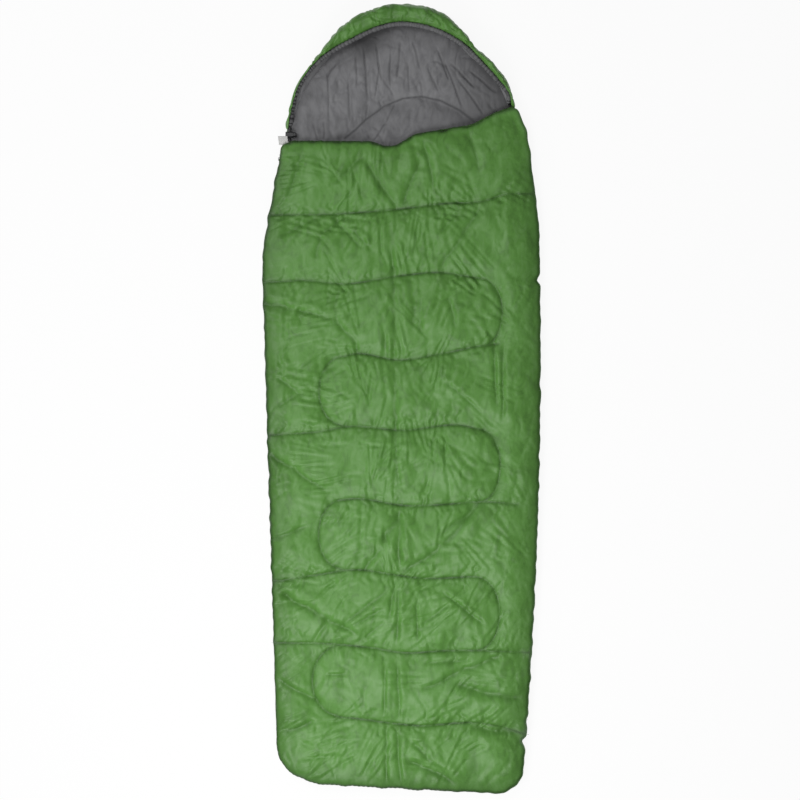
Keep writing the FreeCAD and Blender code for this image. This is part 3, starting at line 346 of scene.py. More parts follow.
def split_outline(ring):
    """The foot, right, top and left sides of a ring, split at its four diagonal extremes.

    Each side runs to the right or upwards.
    """
    x, y = ring.T
    first, second, third, fourth = (int(np.argmax(key)) for key in (-x - y, x - y, x + y, y - x))
    ring = np.roll(ring, -first, axis=0)
    count = len(ring)
    second, third, fourth = ((place - first) % count for place in (second, third, fourth))
    closed = np.concatenate([ring, ring[:1]])
    top, left = closed[third:fourth + 1][::-1], closed[fourth:][::-1]
    return closed[:second + 1], closed[second:third + 1], top, left


def patch(ring, columns, rows):
    """A grid of points that fills a ring, rows by columns by 2.

    The sum of two blends, one between the left and right sides and one
    between the foot and top sides, less the blend of the four corners.
    """
    foot, right, top, left = split_outline(ring)
    foot, top = spread(foot, columns), spread(top, columns)
    left, right = spread(left, rows), spread(right, rows)
    s = np.linspace(0, 1, columns)[None, :, None]
    t = np.linspace(0, 1, rows)[:, None, None]
    across = left[:, None] * (1 - s) + right[:, None] * s
    up = foot[None] * (1 - t) + top[None] * t
    corners = ((foot[0] * (1 - s) + foot[-1] * s) * (1 - t) + (top[0] * (1 - s) + top[-1] * s) * t)
    return across + up - corners


def cubic(values, slopes, piece, width, u):
    """The cubic between a value and the next, with their slopes, at a share u of the width between them."""
    return (values[piece] * (1 + 2 * u) * (1 - u) ** 2 + values[piece + 1] * u * u * (3 - 2 * u)
            + slopes[piece] * width * u * (1 - u) ** 2 + slopes[piece + 1] * width * u * u * (u - 1))


def line_height(points, x):
    """Height of a quilting line at each x: a smooth cubic curve through its points."""
    knots, heights = points.T
    piece = np.clip(np.searchsorted(knots, x) - 1, 0, len(knots) - 2)
    width = knots[piece + 1] - knots[piece]
    return cubic(heights, np.gradient(heights, knots), piece, width, ramp(x - knots[piece], width))


def smooth_line(knots, count):
    """Evenly spaced points on a smooth curve through the knots: a cubic between each two,
    whose slope at a knot is that of the line between its neighbours."""
    run = run_of(knots)
    slopes = np.stack([np.gradient(column, run) for column in knots.T], axis=1)
    where = np.linspace(0, run[-1], 40 * len(knots))
    piece = np.clip(np.searchsorted(run, where) - 1, 0, len(knots) - 2)
    width = (run[piece + 1] - run[piece])[:, None]
    return spread(cubic(knots, slopes, piece, width, (where[:, None] - run[piece][:, None]) / width), count)


def turn_points(turn, count=60):
    """Points of one turn: half an oval whose side bulges out to its crest."""
    above, start_x, crest, end_x = turn
    angle = np.linspace(0, math.pi, count)
    start_y = line_height(QUILTING[above][0], np.array(start_x))
    end_y = line_height(QUILTING[above + 1][0], np.array(end_x))
    chord = start_x + (end_x - start_x) * angle / math.pi
    x = chord + (crest - chord) * np.sin(angle) ** 0.85
    y = (start_y + end_y) / 2 + (start_y - end_y) / 2 * np.cos(angle)
    return np.stack([x, y], axis=1)


def quilt_distance(x, y):
    """Distance from each point to the nearest quilting seam of the front."""
    nearest = np.full(x.shape, 1.0)
    for points, start, end in QUILTING:
        within = np.clip(x, start, end)
        nearest = np.minimum(nearest, np.hypot(x - within, y - line_height(points, within)))
    for turn in TURNS:
        for step_x, step_y in turn_points(turn, 90):
            nearest = np.minimum(nearest, np.hypot(x - step_x, y - step_y))
    return nearest


def back_line(line, x):
    """Height at each x of a quilting line of the back, which wavers a little."""
    return line + 0.004 * np.sin(x * 9)


def back_distance(x, y):
    """Distance from each point to the nearest quilting line of the back."""
    return np.min([np.abs(y - back_line(line, x)) for line in BACK_LINES], axis=0)


# Heights of the quilting lines from the foot up
FRONT_HEIGHTS = [partial(line_height, points) for points, _, _ in reversed(QUILTING)]
BACK_HEIGHTS = [partial(back_line, line) for line in reversed(BACK_LINES)]


def ring_distance(x, y, ring):
    """Distance from each point to a ring, in blocks to keep the arrays small."""
    flat = np.stack([x.ravel(), y.ravel()], axis=1)
    blocks = np.array_split(flat, 40)
    found = [np.sqrt(((block[:, None] - ring[None]) ** 2).sum(-1).min(1)) for block in blocks]
    return np.concatenate(found).reshape(x.shape)


def follow_lines(ring, columns, cell, heights, last_cell=None):
    """A grid that fills a ring, with a row along every quilting line.

    In each column the rows are spaced evenly between the places where the
    column crosses the lines, closer in the last band if it has a cell of its
    own. Gives the points and the rows of the lines.
    """
    fine = 700  # rows of the dense grid in which the crossings are looked for
    dense = patch(ring, columns, fine)
    marks = [np.zeros(columns)]
    for height in heights:
        gap = dense[..., 1] - height(dense[..., 0])
        over = np.clip(np.argmax(gap >= 0, axis=0), 1, fine - 1)
        above = np.take_along_axis(gap, over[None], 0)[0]
        below = np.take_along_axis(gap, over[None] - 1, 0)[0]
        marks.append((over - above / (above - below)) / (fine - 1))
    marks.append(np.ones(columns))
    rows = []
    sewn = []
    for low, high in zip(marks, marks[1:]):
        tall = (high - low).mean() * (dense[-1, columns // 2, 1] - dense[0, columns // 2, 1])
        last = last_cell and high is marks[-1]
        steps = max(2, int(round(tall / (last_cell if last else cell))))
        share = np.linspace(0, 1, steps, endpoint=False)[:, None]
        sewn.append(sum(len(row) for row in rows))
        rows.append(low + (high - low) * share)
    rows = np.concatenate(rows + [np.ones((1, columns))]) * (fine - 1)
    below = np.clip(np.floor(rows).astype(int), 0, fine - 2)
    part = (rows - below)[..., None]
    lower = np.take_along_axis(dense, below[..., None], 0)
    upper = np.take_along_axis(dense, below[..., None] + 1, 0)
    return lower * (1 - part) + upper * part, sewn[1:]


def refine(grid):
    """Twice as many points each way, on a smooth cubic curve through the old ones."""
    for axis in (0, 1):
        grid = np.moveaxis(grid, axis, 0)
        padded = np.concatenate([2 * grid[:1] - grid[1:2], grid, 2 * grid[-1:] - grid[-2:-1]])
        between = (9 * (padded[1:-2] + padded[2:-1]) - padded[:-3] - padded[3:]) / 16
        made = np.zeros((2 * len(grid) - 1,) + grid.shape[1:])
        made[0::2] = grid
        made[1::2] = between
        grid = np.moveaxis(made, 0, axis)
    return grid


def carve_fold(points, start, end, half, depth, wobble=1.0, ridge=0.55):
    """Adds one fold to heights over a plane: a soft valley with a ridge beside it.

    Its section is a bell curve pushed down, next to one pushed up by a share
    of that, and it fades out towards both ends. wobble lets its line and
    width wander: 0 is straight, and 1 strays by about its own width.
    """
    start, end = np.array(start), np.array(end)
    length = np.linalg.norm(end - start)
    along = (end - start) / length
    near = np.linalg.norm(points[..., :2] - (start + end) / 2, axis=-1) < length / 2 + 4 * half
    away = points[near][:, :2] - start
    run = away @ along / length
    across = away @ np.array([-along[1], along[0]])
    place = start[0] * 37 + start[1] * 53
    stray = 0.9 * np.sin(run * 7 + place) + 0.35 * np.sin(run * length * 90 + 2 * place)
    across = across + half * wobble * stray
    half = half * (1 + 0.3 * wobble * np.sin(run * length * 60 + 3 * place))
    fade = eased(np.clip(np.minimum(run, 1 - run) * 4 + 0.25, 0, 1))
    valley = bell(across, half) - ridge * bell(across - 2.1 * half, 1.3 * half)
    points[near, 2] -= depth * fade * valley


def carve_small_folds(points, seed, count, height, bounds):
    """Scatters short folds over a region, most of them slanting or upright."""
    chance = np.random.default_rng(seed)
    low_x, low_y, high_x, high_y = bounds
    for _ in range(count):
        middle = np.array([chance.uniform(low_x, high_x), chance.uniform(low_y, high_y)])
        angle = chance.choice([chance.normal(1.57, 0.5), chance.uniform(0, math.pi)])
        reach = chance.uniform(0.012, 0.05)
        step = np.array([math.cos(angle), math.sin(angle)]) * reach
        half = chance.uniform(0.0035, 0.008)
        carve_fold(points, middle - step, middle + step, half, height * chance.uniform(0.4, 1.6))


def carve_fans(points, seed, count, height):
    """Scatters fans of straight wrinkles, where the cloth is drawn tight in one direction.

    Beside the zip they lie across the bag, in its middle along it, beside the
    sewn side aslant, and over the feet they rise towards the sewn side.
    """
    chance = np.random.default_rng(seed)
    for _ in range(count):
        middle = np.array([chance.uniform(-0.34, 0.34), chance.uniform(-1.0, 0.70)])
        lean = 0.5 if middle[1] < -0.45 else 0.2 if middle[0] < -0.12 else 1.5 if middle[0] < 0.12 else 2.3
        angle = chance.normal(lean, 0.35)
        opening = chance.normal(0, 0.12)
        spacing = chance.uniform(0.009, 0.022)
        aside = np.array([-math.sin(angle), math.cos(angle)])
        for place in range(chance.integers(3, 7)):
            along = np.array([math.cos(angle + opening * place), math.sin(angle + opening * place)])
            centre = middle + aside * spacing * (place + chance.normal(0, 0.2))
            centre = centre + along * chance.normal(0, 0.012)
            reach = along * chance.uniform(0.025, 0.075)
            half = max(0.0030, spacing * chance.uniform(0.20, 0.36))
            carve_fold(points, centre - reach, centre + reach, half, height * chance.uniform(0.3, 1.3), 0.2)


def carve_puckers(points, seed, height):
    """Short folds that start on the quilting lines and run away from them, where the thread
    draws the cloth in."""
    chance = np.random.default_rng(seed)
    for line, start, end in QUILTING:
        x = max(start, -0.33)
        while x < min(end, 0.33):
            x += chance.uniform(0.004, 0.017)
            y = float(line_height(line, np.array(x)))
            up = chance.choice([-1, 1])
            tip = (x + chance.normal(0, 0.012), y + up * chance.uniform(0.014, 0.045))
            carve_fold(points, (x, y), tip, chance.uniform(0.003, 0.006), height * chance.uniform(0.5, 1.8))


# ------------------------------------------------------ mesh building ----

def faces_over(index, flip=False):
    """Faces over a table of point numbers."""
    corners = [index[:-1, :-1], index[:-1, 1:], index[1:, 1:], index[1:, :-1]]
    faces = np.stack([corner.ravel() for corner in corners], axis=1)
    return faces[:, ::-1] if flip else faces


def grid_faces(rows, columns, around=False, flip=False):
    """Faces of a grid of points; around joins the last column to the first."""
    index = np.arange(rows * columns).reshape(rows, columns)
    if around:
        index = np.concatenate([index, index[:, :1]], axis=1)
    return faces_over(index, flip)


def add_piece(name, points, faces, uv, body=None):
    """A mesh object at the origin with a UV map in metres, riding on a body if one is given."""
    mesh = bpy.data.meshes.new(name)
    mesh.from_pydata(points.tolist(), [], faces.tolist())
    mesh.update()
    layer = mesh.uv_layers.new(name="cloth")
    corners = np.zeros(len(mesh.loops), dtype=np.int32)
    mesh.loops.foreach_get("vertex_index", corners)
    layer.data.foreach_set("uv", uv[corners].astype(np.float32).ravel())
    mesh.shade_smooth()
    piece = bpy.data.objects.new(name, mesh)
    bpy.context.scene.collection.objects.link(piece)
    if body:
        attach(piece, body)
    return piece


def add_grid(name, grid, body=None, flip=False, flat=False):
    """A piece on a grid of points. Its UV map is the place seen from above if it is flat, and
    otherwise the distance along it and across it."""
    points = grid.reshape(-1, 3)
    uv = points[:, :2] if flat else strip_uv(grid)
    return add_piece(name, points, grid_faces(*grid.shape[:2], flip=flip), uv, body)


def add_tube(name, rings, run, around, body, flip=True):
    """A piece on the rings of a tube, whose UV map is the distance along it and round it."""
    uv = np.stack([np.repeat(run, len(around)), np.tile(around, len(run))], axis=1)
    faces = grid_faces(*rings.shape[:2], around=True, flip=flip)
    return add_piece(name, rings.reshape(-1, 3), faces, uv, body)


def mark(piece, name, values):
    """Stores one value at every point of a piece, for its material."""
    attribute = piece.data.attributes.new(name, "FLOAT", "POINT")
    attribute.data.foreach_set("value", np.asarray(values, dtype=np.float32).ravel())


def border(grid):
    """The points round a grid, anticlockwise from its first corner."""
    return np.concatenate([grid[0, :-1], grid[:-1, -1], grid[-1, :0:-1], grid[:0:-1, 0]])


def turned_edge(grid, inner, profile, flip=False):
    """Carries a grid's border round and inwards, to the ring of points it is sewn to.

    profile lists rows of (share of the way to the inner ring, inset, height).
    """
    edge = border(grid)[:, :2]
    between = inner - edge
    inwards = between / np.maximum(np.linalg.norm(between, axis=1), 1e-6)[:, None]
    rows = [raised(edge + between * share + inwards * inset, height) for share, inset, height in profile]
    points = np.concatenate([grid.reshape(-1, 3), *rows])
    number = np.arange(len(points))
    top = number[:grid[..., 0].size].reshape(grid.shape[:2])
    turned = np.concatenate([border(top)[None], number[top.size:].reshape(len(rows), -1)])
    turned = np.concatenate([turned, turned[:, :1]], axis=1)
    side = np.roll(faces_over(turned, flip=True), 2, axis=1)
    return points, np.concatenate([faces_over(top, flip), side[:, ::-1] if flip else side])


# A light, limp polyester that resists stretching far more than bending
LIMP_CLOTH = {
    "quality": 4, "mass": 0.2, "tension_stiffness": 15, "compression_stiffness": 15, "shear_stiffness": 5,
    "bending_stiffness": 0.02, "air_damping": 1.0, "vertex_group_mass": "held", "use_pressure": True,
}


def swell(grid, held, pressure, excess, steps, most):
    """Lets a grid of points settle as cloth that is a little too large for the frame it is sewn to.

    Held points stay, and the others move by at most the given distance.
    """
    start = grid.reshape(-1, 3) - (0, 0, grid[..., 2].min())
    mesh = bpy.data.meshes.new("swelling_cloth")
    mesh.from_pydata(start.tolist(), [], grid_faces(*grid.shape[:2]).tolist())
    cloth_object = bpy.data.objects.new("swelling_cloth", mesh)
    scene = bpy.context.scene
    scene.collection.objects.link(cloth_object)
    group = cloth_object.vertex_groups.new(name="held")
    group.add(np.flatnonzero(held).tolist(), 1.0, "REPLACE")
    cloth = cloth_object.modifiers.new("cloth", "CLOTH")
    settings = cloth.settings
    for name, value in LIMP_CLOTH.items():
        setattr(settings, name, value)
    settings.shrink_min = -excess
    settings.uniform_pressure_force = pressure
    settings.effector_weights.gravity = 0
    cloth.collision_settings.use_collision = False
    cloth.point_cache.frame_start = 1
    cloth.point_cache.frame_end = steps
    for number in range(1, steps + 1):
        scene.frame_set(number)
    settled = cloth_object.evaluated_get(bpy.context.evaluated_depsgraph_get()).to_mesh()
    end = np.zeros(len(start) * 3)
    settled.vertices.foreach_get("co", end)
    cloth_object.evaluated_get(bpy.context.evaluated_depsgraph_get()).to_mesh_clear()
    bpy.data.objects.remove(cloth_object)
    bpy.data.meshes.remove(mesh)
    scene.frame_set(1)
    moved = end.reshape(-1, 3) - start
    far = np.linalg.norm(moved, axis=1)
    moved *= (most * np.tanh(far / most) / np.maximum(far, 1e-9))[:, None]
    return grid + moved.reshape(grid.shape)


def bezier_rows(controls, count):
    """Rows of points on one curve per column, pulled towards that column's control points.

    Each control point counts by its Bernstein share: the binomial number
    times powers of how far along the curve the row is and how far is left.
    """
    degree = len(controls) - 1
    w = np.linspace(0, 1, count)[:, None]
    term = np.arange(degree + 1)
    binomial = np.array([math.comb(degree, k) for k in term])
    weights = binomial * w ** term * (1 - w) ** (degree - term)
    return np.einsum("wk,knc->wnc", weights, controls)


def tube(path, radius, sides, closed=False):
    """A tube along a path: a ring of points round every path point, square to the path.

    radius is one number or one per path point. Gives rows of rings.
    """
    along = np.gradient(path, axis=0)
    if closed:
        along = np.roll(path, -1, axis=0) - np.roll(path, 1, axis=0)
    along /= np.linalg.norm(along, axis=1)[:, None]
    side = np.cross(along, (0, 0, 1.0))
    side /= np.maximum(np.linalg.norm(side, axis=1), 1e-9)[:, None]
    up = np.cross(side, along)
    angle = np.linspace(0, 2 * math.pi, sides, endpoint=False)[:, None]
    reach = np.broadcast_to(radius, (len(path),))[:, None, None]
    ring = np.cos(angle) * side[:, None] + np.sin(angle) * up[:, None]
    return path[:, None] + ring * reach


def strip_uv(grid):
    """A UV map of a grid: distance along the first row, and along the first column."""
    across = run_of(grid[grid.shape[0] // 2])
    up = run_of(grid[:, grid.shape[1] // 2])
    return np.stack(np.meshgrid(across, up), axis=-1).reshape(-1, 2)


# ----------------------------------------------------------- materials ----

def add_node(tree, kind, settings=None, links=None):
    """Adds a node, with its settings and input values by name, and links into its inputs.

    stops are the stops of a colour ramp, as (place, linear colour).
    """
    node = tree.nodes.new(kind)
    for name, value in (settings or {}).items():
        if name == "stops":
            elements = node.color_ramp.elements
            while len(elements) < len(value):
                elements.new(0.5)
            for element, (place, colour) in zip(elements, value):
                element.position, element.color = place, (*colour, 1)
        elif isinstance(name, int) or name in node.inputs:
            node.inputs[name].default_value = value
        else:
            setattr(node, name, value)
    for name, output in (links or {}).items():
        tree.links.new(output, node.inputs[name])
    return node


def new_material(name, settings):
    """A material whose shader has the given constant settings."""
    material = bpy.data.materials.new(name)
    material.use_nodes = True
    tree = material.node_tree
    shader = tree.nodes["Principled BSDF"]
    for key, value in settings.items():
        shader.inputs[key].default_value = value
    return material, tree, shader


def shade(colour, factor):
    """A linear colour made darker or lighter."""
    return tuple(min(1.0, value * factor) for value in colour)


def wave_scale(period_mm):
    """Scale at which a band texture on metres repeats once in the given millimetres.

    Its bands are pi / 10 / scale apart.
    """
    return math.pi / 10 / (period_mm / 1000)


# The patches of random tone and painted sheen are 38 mm across, and the crinkles 29 mm apart
TONE_AND_SHEEN_PATCHES_PER_METRE = 26.0
CRINKLES_PER_METRE = 34.0


def woven_cloth(name, colour, sheen, roughness, thread_mm, gloss=0.25, deep=(0.42, 0.42, 0.42)):
    """Plain-woven polyester: two sets of threads, faint mottling with painted sheen, and painted shade.

    The threads of the real cloth are 0.2 mm apart, too fine to show, so they
    are drawn coarser. The mottling is random patches of tone, whose lighter
    and greyer end is painted sheen. The painted shade of seam grooves, creases
    and edges is read from the piece's seam attribute, and deep is what is
    left of each channel where it is full.
    """
    settings = {"Roughness": roughness, "Sheen Weight": sheen, "Sheen Roughness": 0.4, "IOR": 1.5,
                "Specular IOR Level": gloss}
    material, tree, shader = new_material(name, settings)
    place = add_node(tree, "ShaderNodeTexCoord").outputs
    drawn = add_node(tree, "ShaderNodeMapping", {"Scale": (1.5, 0.8, 1.0)}, {"Vector": place["Object"]})
    tone_and_sheen = add_node(tree, "ShaderNodeTexNoise",
                      {"Scale": TONE_AND_SHEEN_PATCHES_PER_METRE, "Detail": 5.0, "Roughness": 0.62, "Distortion": 0.8},
                      {"Vector": drawn.outputs["Vector"]})
    # Painted sheen: the lighter, greyer stops stand in for the taffeta's shine
    painted_sheen = tuple(value * 1.05 + 0.035 * (max(colour) - value) + 0.012 for value in colour)
    stops = ((0.34, shade(colour, 0.80)), (0.50, colour), (0.64, painted_sheen), (0.74, shade(painted_sheen, 1.08)))
    tint = add_node(tree, "ShaderNodeValToRGB", {"stops": stops}, {"Fac": tone_and_sheen.outputs["Fac"]})
    # The seam attribute holds painted shade: in seam grooves, in creases, on edges that turn away and under
    # the hood's edge
    seam = add_node(tree, "ShaderNodeAttribute", {"attribute_name": "seam"})
    mixed = add_node(tree, "ShaderNodeMix", {"data_type": "RGBA", 7: (*np.multiply(colour, deep), 1)},
                     {0: seam.outputs["Fac"], 6: tint.outputs["Color"]})
    tree.links.new(mixed.outputs[2], shader.inputs["Base Color"])
    threads = {}
    for number, direction in enumerate("XY"):
        bands = {"wave_type": "BANDS", "bands_direction": direction, "Scale": wave_scale(thread_mm),
                 "Distortion": 0.4, "Detail": 1.0}
        threads[number] = add_node(tree, "ShaderNodeTexWave", bands, {"Vector": place["UV"]}).outputs["Fac"]
    weave = add_node(tree, "ShaderNodeMath", {"operation": "MULTIPLY"}, threads)
    crinkle = add_node(tree, "ShaderNodeTexNoise",
                       {"noise_type": "RIDGED_MULTIFRACTAL", "Scale": CRINKLES_PER_METRE, "Detail": 3.0,
                        "Roughness": 0.5, "Distortion": 0.5}, {"Vector": place["Object"]})
    fine = add_node(tree, "ShaderNodeBump", {"Strength": 0.12, "Distance": 0.0002},
                    {"Height": weave.outputs[0]})
    bump = add_node(tree, "ShaderNodeBump", {"Strength": 0.6, "Distance": 0.0016},
                    {"Height": crinkle.outputs["Fac"], "Normal": fine.outputs["Normal"]})
    tree.links.new(bump.outputs["Normal"], shader.inputs["Normal"])
    return material


def patterned(name, settings, colour, kind, pattern, stops, bump):
    """A material with one pattern, which shades its colour from stop to stop and stands up from it."""
    material, tree, shader = new_material(name, settings)
    place = add_node(tree, "ShaderNodeTexCoord")
    drawn = add_node(tree, kind, pattern, {"Vector": place.outputs["Object"]}).outputs["Fac"]
    stops = [(at, shade(colour, factor)) for at, factor in stops]
    tint = add_node(tree, "ShaderNodeValToRGB", {"stops": stops}, {"Fac": drawn})
    tree.links.new(tint.outputs["Color"], shader.inputs["Base Color"])
    raised_by = add_node(tree, "ShaderNodeBump", bump, {"Height": drawn})
    tree.links.new(raised_by.outputs["Normal"], shader.inputs["Normal"])
    return material


def moulded(name, colour, roughness, metallic=0.0, grains_per_metre=1040.0, coat=0.0):
    """Moulded plastic, drawn wire or lacquered die-cast metal: even colour with a grain of 1 to 2 mm."""
    settings = {"Roughness": roughness, "Metallic": metallic, "Coat Weight": coat, "Coat Roughness": 0.2}
    return patterned(name, settings, colour, "ShaderNodeTexNoise", {"Scale": grains_per_metre, "Detail": 3.0},
                     ((0.35, 0.8), (0.65, 1.35)), {"Strength": 0.15, "Distance": 0.0001})


def ribbed_textile(name, colour, rib_mm, roughness=0.75, sheen=0.1):
    """Woven tape, thread or braided cord: ribs of thread aslant across the piece."""
    settings = {"Roughness": roughness, "Sheen Weight": sheen, "Sheen Roughness": 0.5}
    ribs = {"wave_type": "BANDS", "bands_direction": "DIAGONAL", "Scale": wave_scale(rib_mm),
            "Distortion": 1.5, "Detail": 2.0}
    return patterned(name, settings, colour, "ShaderNodeTexWave", ribs, ((0.2, 0.65), (0.8, 1.25)),
                     {"Strength": 0.4, "Distance": 0.0003})


MATERIALS = {}


def make_materials(colours):
    """Makes every material of the bag, once."""
    if MATERIALS:
        return
    cover, dark = tuple(colours.cover), tuple(colours.zip)
    MATERIALS.update(
        # Outer cloth: calendered polyester taffeta, which gives a soft sheen on every ridge
        cover=woven_cloth("polyester_taffeta_green", cover, 0.10, 0.46, 1.6, 0.40, (0.24, 0.28, 0.20)),
        # Lining: brushed polyester pongee, matt and cooler
        lining=woven_cloth("polyester_pongee_grey", tuple(colours.lining), 0.15, 0.62, 1.4),
        # Hem: the lining's cloth, its grey darkened as painted shade, and darker still in its gathers as the
        # piece marks
        hem=woven_cloth("polyester_hem_grey", tuple(colours.hem), 0.15, 0.6, 1.4, deep=(0.16, 0.16, 0.16)),
        edging=woven_cloth("overlocked_edge_green", shade(cover, 0.34), 0.1, 0.7, 1.2),
        # Polyester sewing thread, twisted, a shade darker than the cloth it sinks into
        thread=ribbed_textile("polyester_thread_green", shade(cover, 0.70), 0.8),
        # Woven and braided polyester, matt, with its ribs in relief
        tape=ribbed_textile("zip_tape_woven_polyester", dark, 0.9),
        cord=ribbed_textile("braided_polyester_cord_black", linear_colour("17181A"), 1.1),
        # Zip coil: extruded nylon monofilament, smooth and a little glossy
        coil=moulded("nylon_coil_extruded", dark, 0.32, grains_per_metre=480.0),
        # Sliders, pulls and stops: die-cast zinc under dark lacquer
        zinc=moulded("zinc_die_cast_lacquered", linear_colour("34363A"), 0.38, metallic=0.6, coat=0.3),
        # Cord lock: injection-moulded acetal, satin, with a spring of bright drawn wire
        acetal=moulded("acetal_moulded_black", linear_colour("1B1C1E"), 0.42),
        steel=moulded("spring_steel_drawn", linear_colour("9A9C9E"), 0.3, metallic=1.0),
        # Label: bare satin tape, white with a silky face
        satin=ribbed_textile("satin_label_white", tuple(colours.label), 0.6, roughness=0.4, sheen=0.3),
    )


def finish_with(piece, finish):
    """Gives a piece its material."""
    piece.data.materials.clear()
    piece.data.materials.append(MATERIALS[finish])


# ------------------------------------------------------------ the pads ----

# Small notches where the sides are nipped in: side, height and depth.
NOTCHES = ((1, 0.319, 0.008), (1, -0.908, 0.009), (-1, 0.180, 0.003), (-1, -0.110, -0.003))


def nipped(ring):
    """A ring with the notches of the bag's sides, which every layer shares."""
    depth = np.zeros(len(ring))
    for side, height, deepest in NOTCHES:
        near = (np.sign(ring[:, 0]) == side) & (np.abs(ring[:, 1] - height) < 0.05)
        depth += near * deepest * bell(ring[:, 1] - height, 0.009)
    return ring - outwards(ring) * depth[:, None]


def ruffled(ring, seed, ruffle):
    """A nipped ring whose edge wanders in and out."""
    run = run_of(np.concatenate([ring, ring[:1]]))
    wander = smooth_noise(run[:-1], seed, 0.11, 0.028) * ruffle
    wander *= np.sin(np.pi * np.arange(len(ring)) / len(ring)) ** 0.1
    return nipped(ring) + outwards(ring) * wander[:, None]


def sewn_ring(ring, inset):
    """Where the cloth round a pad's edge is sewn: the zip's line on the left and along the
    foot, with its rounded corner, and a line just inside the outline elsewhere."""
    inner = ring - outwards(ring) * inset
    foot_y = ZIP_CORNER_Y + ZIP_SLOPE * (inner[:, 0] - ZIP_X)
    below_zip = inner[:, 0] < ZIP_END[0]
    x = np.where(inner[:, 1] < 0.70, np.maximum(inner[:, 0], ZIP_X), inner[:, 0])
    y = np.where(below_zip, np.maximum(inner[:, 1], foot_y), inner[:, 1])
    place = np.stack([x, y], axis=1)
    middle = np.array([ZIP_X + ZIP_CORNER_ROUND, ZIP_CORNER_Y + ZIP_CORNER_ROUND])
    away = place - middle
    far = np.linalg.norm(away, axis=1)
    corner = (away[:, 0] < 0) & (away[:, 1] < 0) & (far > ZIP_CORNER_ROUND)
    pulled = middle + away * (ZIP_CORNER_ROUND / np.maximum(far, 1e-6))[:, None]
    return np.where(corner[:, None], pulled, place)


def filled_out(seam, width):
    """Share of its full height that cloth over wadding has at a distance from its seam."""
    return 1 - np.exp(-(seam / width) ** 1.2)


THREAD_RADIUS = 0.00038
BAG_WIDTH = 0.74
# How far from the middle line of a quilting seam its groove reaches, on each cloth
FRONT_GROOVE, HEAD_GROOVE, FLAT_GROOVE = 0.0032, 0.0034, 0.0026


